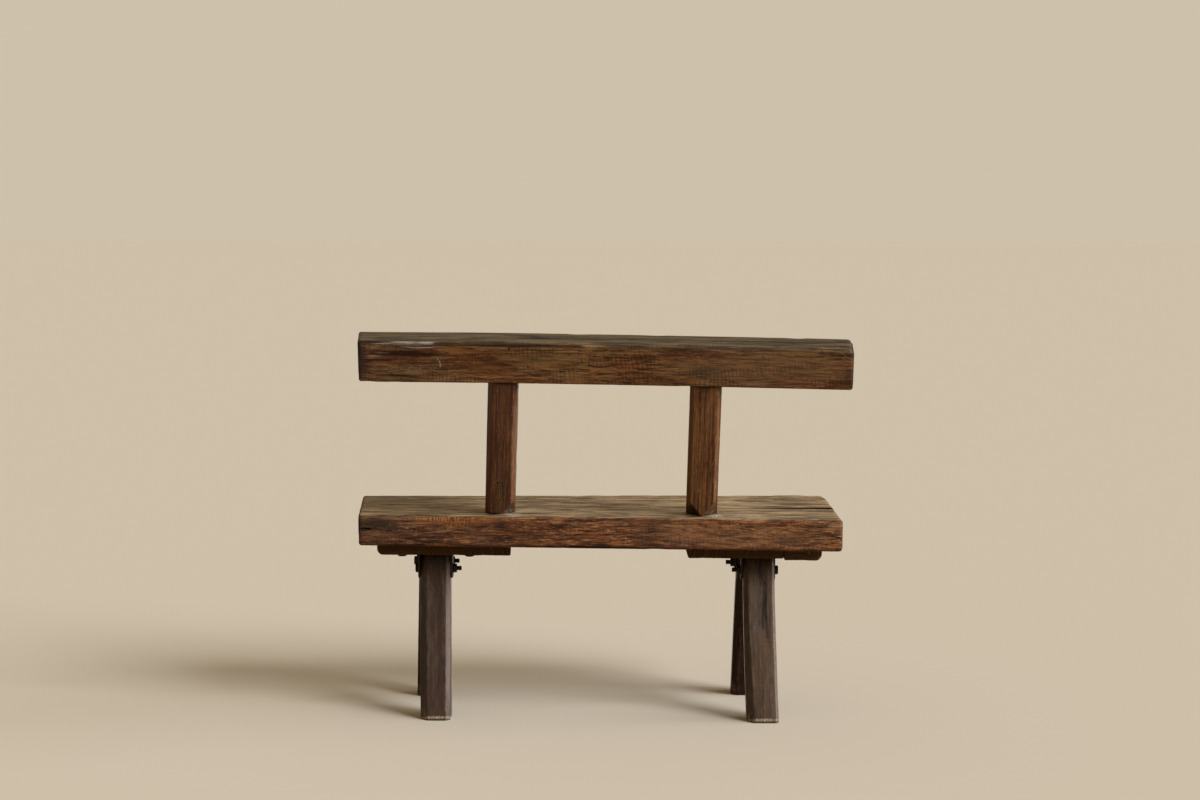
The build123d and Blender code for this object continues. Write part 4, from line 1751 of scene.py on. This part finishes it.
@dataclass
class BackPost(Timber):
    """A back post with chamfered corners, between the seat and the rail."""

    width: float = 0.063
    across: float = 0.0
    tilt: float = 2.0
    undercuts: tuple[float, ...] = ()
    chamfers: Corners = (0.012,) * 4
    sunk: float = 0.02
    into_rail: float = 0.004
    facet: Point = (0.78, 0.858, 0.594)
    nail: tuple[float, float] | None = None
    nail_radius: float = 0.0024
    # Strength of a painted highlight, with some wear, on the right chamfer
    pale_edge: float = 0.0
    tint: Colour | None = None

    def frame(self) -> Matrix:
        """Gives the post's frame: X across, Y to the front, Z up, on the seat."""
        place = Matrix.Translation((self.across, POST_DEPTH / 2, 0.0))
        return back_frame() @ place @ rotation(self.tilt, "Y")

    def billet(self) -> Billet:
        """Lofts the post from below the seat's top to just inside the rail.

        Returns:
            The lofted shape.
        """
        section = Squared(self.width, POST_DEPTH, self.chamfers, 0.25)
        length = self.rise() + self.into_rail + self.sunk
        return Billet(length, lambda share: section, (0.001, 0.001))

    def rise(self) -> float:
        """Gives how far the rail's underside is above the seat, along the post."""
        return RAIL_RISE - self.across * math.tan(math.radians(RAIL_SLOPE))

    def place(self, points: Array) -> Array:
        """Stands the post on the seat."""
        return transform(self.upright(), points - np.array((self.sunk, 0.0, 0.0)))

    def upright(self) -> Matrix:
        """Gives the post's frame with X up along its grain."""
        turned = Matrix(((0, 1, 0), (0, 0, 1), (1, 0, 0))).to_4x4()
        return self.frame() @ turned

    def grain_frame(self) -> Matrix:
        """Puts the pith beside the post."""
        return self.upright() @ Matrix.Translation((0.0, 0.05, 0.03))

    def cuts(self) -> list[Cut]:
        """Cuts the old nail hole, where the post has one.

        Returns:
            The cuts.
        """
        if self.nail is None:
            return []
        into = tuple(self.frame().to_3x3() @ Vector((0.0, 1.0, 0.0)))
        return [NailHole(self.on_back(*self.nail), into, self.nail_radius)]

    def on_back(self, along: float, up: float) -> Point:
        """Gives a place on the post's back face in the bench's coordinates."""
        return tuple(self.frame() @ Vector((along, -POST_DEPTH / 2, up)))

    def marks(self) -> list[Mark]:
        """Lists the dirt and painted shade on the undercut facets, the filler at the foot, the painted shadow
        line at the foot, the painted shadow and joint dirt under the rail, and the painted highlight on the
        right chamfer.

        Returns:
            The marks.
        """
        half = self.width / 2
        top = self.rise()
        marks = [
            # Painted shadow, with some joint dirt, on the post's top just under the rail
            Mark(self.on_back(0.0, top), (0.0045, 0.06, 0.06), (22, 13, 8), 0.9, 0.2, 0.0),
            # Painted shadow line in the gap across the post's foot, left of its middle
            Mark(self.on_back(-half * 0.35, 0.0), (0.0042, half * 0.9, 0.03), (16, 11, 7), 1.0, 0.2, 0.0),
        ]
        for side in self.undercuts:
            # Dirt and painted shade on the undercut facets: lighter on the right-hand facet and darker on the
            # left-hand one, as the light falls from the right
            darkening = (72, 52, 42) if side > 0 else (34, 23, 15)
            facet = self.on_back(half * math.copysign(0.75, side), 0.006)
            marks.append(Mark(facet, (0.02, 0.02, 0.024), darkening, 0.95, 0.15, 0.0))
            if side > 0:
                filler = self.on_back(half * 0.8, 0.002)
                reach = (0.011, 0.018, 0.024)
                marks.append(Mark(filler, reach, (196, 186, 172), 0.75, 0.8, 0.9, gaps=Gaps.CRUMBS))
        # Painted highlight, with some wear, down the post's right chamfer
        chamfer = self.on_back(half - 0.002, top / 2)
        marks.append(Mark(chamfer, (0.2, 0.009, 0.014), (148, 108, 80), self.pale_edge, 0.5, 0.4))
        if self.tint:
            marks.append(Mark(self.on_back(-half, top / 2), (0.22, 0.022, 0.03), self.tint, 0.6, 0.3, 0.5))
        if self.nail:
            rim = self.on_back(*self.nail)
            marks.append(Mark(rim, (0.0075, 0.006, 0.006), (124, 96, 68), 0.6, 0.3, 0.3))
            marks.append(Mark(rim, (0.0042, 0.0036, 0.004), (20, 13, 9), 0.9, 0.1, 0.0))
        return marks

    def trim(self, piece: Object) -> None:
        """Saws the undercut facets off the back corners of the post's foot.

        Args:
            piece: The finished post.
        """
        stand = self.frame()
        for side in self.undercuts:
            foot = Vector((0.0, -POST_DEPTH / 2, 0.0))
            if abs(side) < 1:
                foot.x = math.copysign(self.width * (1 - abs(side)) / 2, side)
            normal = Vector((-math.copysign(self.facet[0], side), *self.facet[1:]))
            saw = bmesh.new()
            saw.from_mesh(piece.data)
            geometry = [*saw.verts, *saw.edges, *saw.faces]
            cut = bmesh.ops.bisect_plane(
                saw,
                geom=geometry,
                plane_co=stand @ foot,
                plane_no=stand.to_3x3() @ normal,
                clear_inner=True,
            )
            rim = [item for item in cut["geom_cut"] if isinstance(item, bmesh.types.BMEdge)]
            bmesh.ops.contextual_create(saw, geom=rim)
            bmesh.ops.recalc_face_normals(saw, faces=saw.faces)
            saw.to_mesh(piece.data)
            saw.free()


@dataclass
class Bearer(Timber):
    """A bearer board under the seat, its grain across the bench."""

    low: Vector = field(default_factory=Vector)
    high: Vector = field(default_factory=Vector)
    outer: int = 1
    outer_round: float = 0.008
    edge_round: float = 0.002
    girth_step: float = 0.003
    inner_reach: float = 0.02
    inner_bevel: float = 0.0
    inner_proud: float = 0.0
    inner_skew: float = 0.0
    split: float = 0.0
    split_drop: float = 0.0035

    def billet(self) -> Billet:
        """Lofts the board from the bench's back to its front.

        Returns:
            The lofted shape.
        """
        edges = [self.edge_round] * len(CORNER_SIGNS)
        edges[-1 if self.outer > 0 else 0] = self.outer_round
        size = self.high - self.low
        section = Squared(size.z, size.x, tuple(edges))
        rounds = (self.edge_round, self.edge_round)
        return Billet(size.y, lambda share: section, rounds, girth_step=self.girth_step)

    def shape(self, points: Array) -> Array:
        """Bevels the inner end and lets the split-off part hang down at the back.

        Args:
            points: Places in the timber's own coordinates.

        Returns:
            The moved places.
        """
        size = self.high - self.low
        bent = points.copy()
        inner = smoothstep(-self.outer * bent[:, 2], size.x / 2 - self.inner_reach, size.x / 2)
        lowness = 0.5 - bent[:, 1] / size.z
        bent[:, 2] += self.outer * inner * (self.inner_bevel * lowness - self.inner_proud)
        bent[:, 2] += self.outer * self.inner_skew * inner * bent[:, 0] / size.y
        if self.split:
            beyond = self.outer * bent[:, 2] > size.x / 2 - self.split
            bent[:, 1] -= self.split_drop * beyond * smoothstep(bent[:, 0], size.y * 0.8, 0.0)
        return bent

    def place(self, points: Array) -> Array:
        """Lays the board under the seat.

        Args:
            points: Places in the timber's own coordinates.

        Returns:
            The same places on the bench.
        """
        middle = (self.low + self.high) / 2
        return np.column_stack((
            points[:, 2] + middle.x,
            points[:, 0] + self.low.y,
            points[:, 1] + middle.z,
        ))

    def grain_frame(self) -> Matrix:
        """Puts the pith below the board's outer part."""
        pith = (self.low + self.high) / 2 + Vector((self.outer * 0.09, 0.0, -0.05))
        return frame_from(pith, Vector((0, 1, 0)), Vector((0, 0, 1)))

    def marks(self) -> list[Mark]:
        """Lists the pale scratches on the end of a split board.

        Returns:
            The marks.
        """
        if not self.split:
            return []
        places = (
            (0.014, 0.0185, 0.0012, 0.014),
            (0.0265, 0.0125, 0.005, 0.0013),
            (0.008, 0.014, 0.0045, 0.0012),
        )
        x, y, z = self.high.x, self.low.y, self.low.z
        return [
            Mark((x - inset, y, z + up), (0.01, rise, reach), (168, 142, 92), 0.9, 0.2, 0.1)
            for inset, up, rise, reach in places
        ]

    def cuts(self) -> list[Cut]:
        """Cuts the split, where the board has one.

        Returns:
            The cuts.
        """
        if not self.split:
            return []
        along = self.high.x - self.split if self.outer > 0 else self.low.x + self.split
        reach = (self.high.y - self.low.y) * 0.7
        line = tuple((along, self.low.y - 0.01 + reach * share, self.low.z) for share in (0.0, 0.5, 1.0))
        depth = self.high.z - self.low.z + 0.01
        return [Crack(line, (0.0026, 0.0018, 0.0006), depth, (0.02, 0.0, 1.0), lift=0.01)]


@dataclass
class Leg(Timber):
    """A leg with chamfered corners, splayed from its bearer and kicked a little sideways."""

    top_middle: float = 0.0
    facing: int = -1
    kick: float = 0.0
    spread: float = 0.09
    chamfers: Corners = (0.013,) * 4
    foot_chamfers: Corners = (0.013,) * 4
    width: float = 0.066
    foot_width: float = 0.068
    depth: float = 0.06
    straight: float = 0.066
    top_offset: float = 0.0395
    bow: float = 1.0
    # Colour of a painted highlight, with some wear, on a back leg's right chamfer
    pale_edge: Colour = (138, 123, 111)
    stains_and_shade: tuple[LegPatch, ...] = ()

    def billet(self) -> Billet:
        """Lofts the leg from its foot to its top."""
        return Billet(LEG_TOP, self.section, (0.003, 0.001))

    def section(self, share: float) -> Squared:
        """Gives the cross-section, with chamfers that change from the foot up.

        Args:
            share: Share of the leg's height.

        Returns:
            The cross-section.
        """
        width = self.foot_width + (self.width - self.foot_width) * share
        risen = float(smoothstep(np.array(share), 0.0, 0.75))
        pairs = zip(self.foot_chamfers, self.chamfers)
        chamfers = tuple(low + (high - low) * risen for low, high in pairs)
        return Squared(width, self.depth, chamfers, 0.18)

    def place(self, points: Array) -> Array:
        """Stands the leg on the floor, splayed towards its side of the bench.

        Args:
            points: Places in the timber's own coordinates.

        Returns:
            The same places on the bench.
        """
        height = points[:, 0]
        bend_height = LEG_TOP - self.straight
        kicked = self.kick * np.clip((bend_height - height) / bend_height, 0.0, 1.0) ** self.bow
        splay = self.facing * (self.top_offset + self.spread * (LEG_TOP - height) / LEG_TOP)
        return np.column_stack((
            self.top_middle + kicked + points[:, 1],
            BENCH_MIDDLE.y + splay + points[:, 2],
            height,
        ))

    def settle(self, worn: Array, sawn: Array) -> Array:
        """Keeps the foot flat on the floor and the top flat under the bearer."""
        return np.column_stack((worn[:, :2], sawn[:, 2]))

    def grain_frame(self) -> Matrix:
        """Runs the pith along the leg's slope, beside it."""
        foot, top = (Vector(self.spot(height, 0.0, 0.0)) for height in (0.0, LEG_TOP))
        return frame_from(foot, top - foot, Vector((1, 0, 0))) @ Matrix.Translation((0.0, 0.06, 0.05))

    def marks(self) -> list[Mark]:
        """Lists the foot's pale bruises, the top darkened as painted shade under the bearer, the painted
        highlight with some wear on a back leg's right chamfer, and the leg's stains, with painted shade down
        the left leg's left chamfer.

        Returns:
            The marks.
        """
        pale = (190, 174, 148)
        ankle = self.spot(0.012, -self.width / 2, -self.depth / 2)
        crown = self.spot(LEG_TOP, 0.0, 0.0)
        marks = [
            Mark(self.spot(-0.0005, 0.0, 0.0), (0.0046, 0.06, 0.06), pale, 0.95, 0.7, 0.55, gaps=Gaps.CRUMBS),
            Mark(ankle, (0.024, 0.015, 0.02), pale, 0.6, 0.9, 1.0, gaps=Gaps.CRUMBS),
            # Painted shade: the leg's top darkened where the bearer and seat shade it
            Mark(crown, (0.08, 0.08, 0.08), (166, 138, 106), 1.0, 0.2, 0.0, Coat.STAIN_AND_SHADE),
        ]
        if self.facing < 0:
            # Painted highlight, with some wear, down the back leg's right chamfer
            chamfer = self.spot(0.17, self.width / 2 - 0.003, -self.depth / 2 + 0.003)
            marks.append(Mark(chamfer, (0.24, 0.011, 0.011), self.pale_edge, 0.5, 0.3, 0.3))
        # Stains, and on the left leg painted shade down its left chamfer
        for height, across, reach, girth, colour, strength in self.stains_and_shade:
            spot = self.spot(height, across, -self.depth / 2)
            marks.append(Mark(spot, (reach, girth, 0.02), colour, strength, 0.8, 0.5))
        return marks

    def spot(self, height: float, across: float, deep: float) -> Point:
        """Gives a place on the leg in the bench's coordinates."""
        return tuple(self.place(np.array(((height, across, deep),)))[0])


# Steel fixings


@dataclass
class Fixing:
    """A steel piece that keeps its solid's shape, with softened edges."""

    node: str
    finish: SteelFinish
    bevel: float = 0.0005
    flat_angle: float = 1.0
    sharp_angle: float = 28.0

    def build(self, material: Material) -> Object:
        """Copies the solid's mesh, softens it and puts it in place of the solid.

        Args:
            material: The fixing's steel.

        Returns:
            The fixing's object.
        """
        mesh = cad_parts[self.node].data.copy()
        mesh.name = f"{self.node}_steel"
        mesh.materials.clear()
        mesh.materials.append(material)
        shape = bmesh.new()
        shape.from_mesh(mesh)
        bmesh.ops.remove_doubles(shape, verts=shape.verts, dist=1e-6)
        flat, least = math.radians(self.flat_angle), math.radians(self.sharp_angle)
        bmesh.ops.dissolve_limit(shape, angle_limit=flat, verts=shape.verts, edges=shape.edges)
        sharp = [edge for edge in shape.edges if edge.is_manifold and edge.calc_face_angle() > least]
        bmesh.ops.bevel(
            shape, geom=sharp, offset=self.bevel, offset_type="OFFSET", segments=2, profile=0.6,
            affect="EDGES", clamp_overlap=True,
        )
        self.shape(shape)
        bmesh.ops.recalc_face_normals(shape, faces=shape.faces)
        shape.to_mesh(mesh)
        shape.free()
        mesh.polygons.foreach_set("material_index", np.zeros(len(mesh.polygons), np.int32))
        smooth(mesh)
        piece = link_object(f"{self.node}_steel", mesh)
        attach(piece, BODY)
        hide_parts(self.node)
        LOG.info("%s: %d faces", piece.name, len(mesh.polygons))
        return piece

    def shape(self, shape: bmesh.types.BMesh) -> None:
        """Changes the softened shape: by default, not at all."""


@dataclass
class Bolt(Fixing):
    """A leg bolt, with a thread cut on the end that stands out of its nut."""

    pitch: float = 0.0015
    depth: float = 0.0007
    threaded: float = 0.022
    plain_tip: float = 0.0005
    least_shank: float = 0.03
    steps: int = 6

    def shape(self, shape: bmesh.types.BMesh) -> None:
        """Divides the shank finely along its length and draws it in along a helix.

        Args:
            shape: The softened bolt.
        """
        long = [edge for edge in shape.edges if edge.calc_length() > self.least_shank]
        places = [vertex.co.x for edge in long for vertex in edge.verts]
        low, high = min(places), max(places)
        cuts = round((high - low) / self.pitch * self.steps)
        axis = sum((edge.verts[0].co for edge in long), Vector()) / len(long)
        bmesh.ops.subdivide_edges(shape, edges=long, cuts=cuts)
        inboard = -math.copysign(1.0, axis.x - BENCH_MIDDLE.x)
        end = high if inboard > 0 else low
        for vertex in shape.verts:
            inside = (end - vertex.co.x) * inboard
            if not self.plain_tip < inside < self.threaded:
                continue
            out = Vector((0.0, vertex.co.y - axis.y, vertex.co.z - axis.z))
            turn = math.atan2(out.z, out.y) / (2 * math.pi)
            ridge = abs(2 * ((vertex.co.x / self.pitch - turn) % 1.0) - 1)
            vertex.co -= out.normalized() * self.depth * ridge


# The studio


@dataclass
class Studio:
    """Camera at the photograph's place, soft lamps and a plain pale floor."""

    camera_at: Point = (0.1067, -5.1446, 1.19)
    yaw: float = 1.155
    pitch: float = 5.711
    roll: float = 0.138
    lens: float = 72.0
    sensor: float = 36.0
    floor_colour: Colour = (208, 198, 180)
    bounce_colour: Colour = (142, 121, 92)
    backdrop_colour: Colour = (205, 193, 172)
    sky_colour: Colour = (246, 218, 170)
    sky_strength: float = 0.33
    floor_size: float = 60.0

    def build(self) -> None:
        """Sets the camera, the lamps, the world and the floor."""
        scene = bpy.context.scene
        scene.view_settings.view_transform = "Standard"
        self.camera(scene)
        self.lamp("key", Vector((0.73, -0.47, 0.52)), 3.3, 28.0, (246, 248, 255))
        self.lamp("side", Vector((0.97, -0.02, 0.22)), 2.8, 38.0, (244, 248, 255))
        self.world(scene)
        self.floor()

    def camera(self, scene: Scene) -> None:
        """Adds the camera.

        Args:
            scene: The scene.
        """
        data = bpy.data.cameras.new("camera")
        data.lens = self.lens
        data.sensor_width = self.sensor
        camera = link_object("camera", data)
        turn = rotation(self.yaw, "Z") @ rotation(90 - self.pitch, "X") @ rotation(self.roll, "Z")
        camera.matrix_world = Matrix.Translation(self.camera_at) @ turn
        scene.camera = camera

    def lamp(self, name: str, towards: Vector, strength: float, spread: float, colour: Colour) -> None:
        """Adds a distant soft lamp.

        Args:
            name: The lamp's name.
            towards: Direction from the bench to the lamp.
            strength: Light that falls on a face turned to it.
            spread: How wide the lamp looks from the bench, which softens its shadows.
            colour: The light's colour.
        """
        data = bpy.data.lights.new(name, "SUN")
        data.energy = strength
        data.angle = math.radians(spread)
        data.color = linear(colour)[:3]
        link_object(name, data).rotation_euler = towards.to_track_quat("Z", "Y").to_euler()

    def world(self, scene: Scene) -> None:
        """Adds soft light from all round, with a plain pale backdrop for the camera.

        Args:
            scene: The scene.
        """
        world = bpy.data.worlds.new("studio")
        scene.world = world
        world.use_nodes = True
        graph = Graph(world.node_tree)
        world.node_tree.nodes.clear()
        sky = {"Color": linear(self.sky_colour), "Strength": self.sky_strength}
        backdrop = {"Color": linear(self.backdrop_colour), "Strength": 1.0}
        light, pale = (graph.add("ShaderNodeBackground", look).outputs[0] for look in (sky, backdrop))
        both = graph.add("ShaderNodeMixShader", {0: self.seen(graph), 1: light, 2: pale})
        graph.add("ShaderNodeOutputWorld", {"Surface": both.outputs[0]})

    def seen(self, graph: Graph) -> NodeSocket:
        """Gives 1 for rays that the camera, a gloss or a glass sees, and 0 for light that bounces.

        Args:
            graph: The graph that reads the rays.

        Returns:
            The value.
        """
        path = graph.add("ShaderNodeLightPath").outputs
        shown = graph.math("MAXIMUM", path["Is Camera Ray"], path["Is Glossy Ray"])
        return graph.math("MAXIMUM", shown, path["Is Transmission Ray"])

    def floor(self) -> None:
        """Adds the floor, which looks pale but throws less light back at the bench."""
        half = self.floor_size / 2
        mesh = bpy.data.meshes.new("floor")
        corners = [(x * half, y * half, 0.0) for x, y in CORNER_SIGNS]
        mesh.from_pydata(corners, [], [(0, 1, 2, 3)])
        material, graph, _ = start_material("floor")
        material.node_tree.nodes.clear()
        bounce, pale = (
            graph.add("ShaderNodeBsdfDiffuse", {"Color": linear(colour)}).outputs[0]
            for colour in (self.bounce_colour, self.floor_colour)
        )
        both = graph.add("ShaderNodeMixShader", {0: self.seen(graph), 1: bounce, 2: pale})
        graph.add("ShaderNodeOutputMaterial", {"Surface": both.outputs[0]})
        mesh.materials.append(material)
        floor = link_object("floor", mesh)


def timbers() -> list[Timber]:
    """Lists the bench's timbers.

    Returns:
        The timbers, in building order.
    """

    def leg_middle(name: str) -> float:
        """Gives the middle between a leg's two brackets."""
        outer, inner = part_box(f"bracket_{name}_outer"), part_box(f"bracket_{name}_inner")
        return (outer[0].x + outer[1].x + inner[0].x + inner[1].x) / 4

    return [
        SeatSlab("seat_slab", 1.3, SEAT_WOOD, Wear(swell=0.0004)),
        BackRail("back_rail", 4.1, BACK_WOOD, Wear(swell=0.0004)),
        BackPost(
            "back_post_left", 7.7, LEFT_POST_WOOD, width=0.063, across=-0.2115, tilt=2.7, undercuts=(0.92,),
            chamfers=(0.012, 0.0075, 0.012, 0.012), nail=(-0.005, 0.0713), pale_edge=0.55, tint=(104, 58, 12),
        ),
        BackPost(
            "back_post_right", 9.2, RIGHT_POST_WOOD, width=0.066, across=0.218, tilt=1.75,
            undercuts=(-1.0, 1.0), chamfers=(0.009, 0.009, 0.012, 0.012), pale_edge=0.2, tint=(126, 92, 44),
        ),
        Bearer(
            "bearer_left", 12.5, BEARER_WOOD, low=LEFT_BEARER[0], high=LEFT_BEARER[1], outer=-1,
            inner_skew=0.012,
        ),
        Bearer(
            "bearer_right", 15.8, BEARER_WOOD, low=RIGHT_BEARER[0], high=RIGHT_BEARER[1],
            inner_bevel=0.008, inner_proud=0.004, split=0.0806,
        ),
        Leg(
            "leg_back_left", 20.0, LEG_WOOD, top_middle=leg_middle("back_left"), kick=0.006, foot_width=0.065,
            chamfers=(0.0155, 0.008, 0.013, 0.013), foot_chamfers=(0.0155, 0.0095, 0.013, 0.013),
            stains_and_shade=LEFT_LEG_CHAMFER_SHADE,
        ),
        Leg(
            "leg_back_right", 23.3, RIGHT_LEG_WOOD, top_middle=leg_middle("back_right") + 0.0015, kick=0.008,
            spread=0.093, width=0.067, foot_width=0.069, bow=1.35, pale_edge=(116, 97, 79),
            chamfers=(0.011, 0.0055, 0.013, 0.013), foot_chamfers=(0.016, 0.006, 0.013, 0.013),
            stains_and_shade=RIGHT_LEG_STAINS,
        ),
        Leg(
            "leg_front_left", 26.6, SHADED_FRONT_LEG_WOOD, top_middle=leg_middle("front_left"), facing=1,
            kick=-0.009, spread=0.0625,
        ),
        Leg(
            "leg_front_right", 29.9, SHADED_FRONT_LEG_WOOD, top_middle=leg_middle("front_right"), facing=1,
            kick=-0.006, spread=0.0965,
        ),
    ]


def fixings() -> list[Fixing]:
    """Lists the bench's steel pieces.

    Returns:
        The fixings, in building order.
    """
    made: list[Fixing] = []
    for node in sorted(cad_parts):
        if node.startswith("bracket_"):
            made.append(Fixing(node, BRACKET_STEEL))
        elif node.startswith("leg_bolt_"):
            made.append(Bolt(node, FASTENER_STEEL, 0.0004))
        elif node.startswith(("leg_nut_", "lag_screw_")):
            made.append(Fixing(node, FASTENER_STEEL, 0.0004))
    return made


def main() -> None:
    """Builds the bench's pieces and the studio, and reports each piece."""
    logging.basicConfig(level=logging.INFO, format="%(name)s: %(message)s")
    dressed = set()
    for timber in timbers():
        timber.build()
        dressed.add(timber.node)
    steels = {finish.slot: finish.material(finish.slot) for finish in (BRACKET_STEEL, FASTENER_STEEL)}
    for fixing in fixings():
        fixing.build(steels[fixing.finish.slot])
        dressed.add(fixing.node)
    for node in sorted(set(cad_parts) - dressed):
        LOG.warning("%s keeps its plain solid", node)
    Studio().build()
    bpy.context.view_layer.update()


if __name__ == "__main__":
    main()
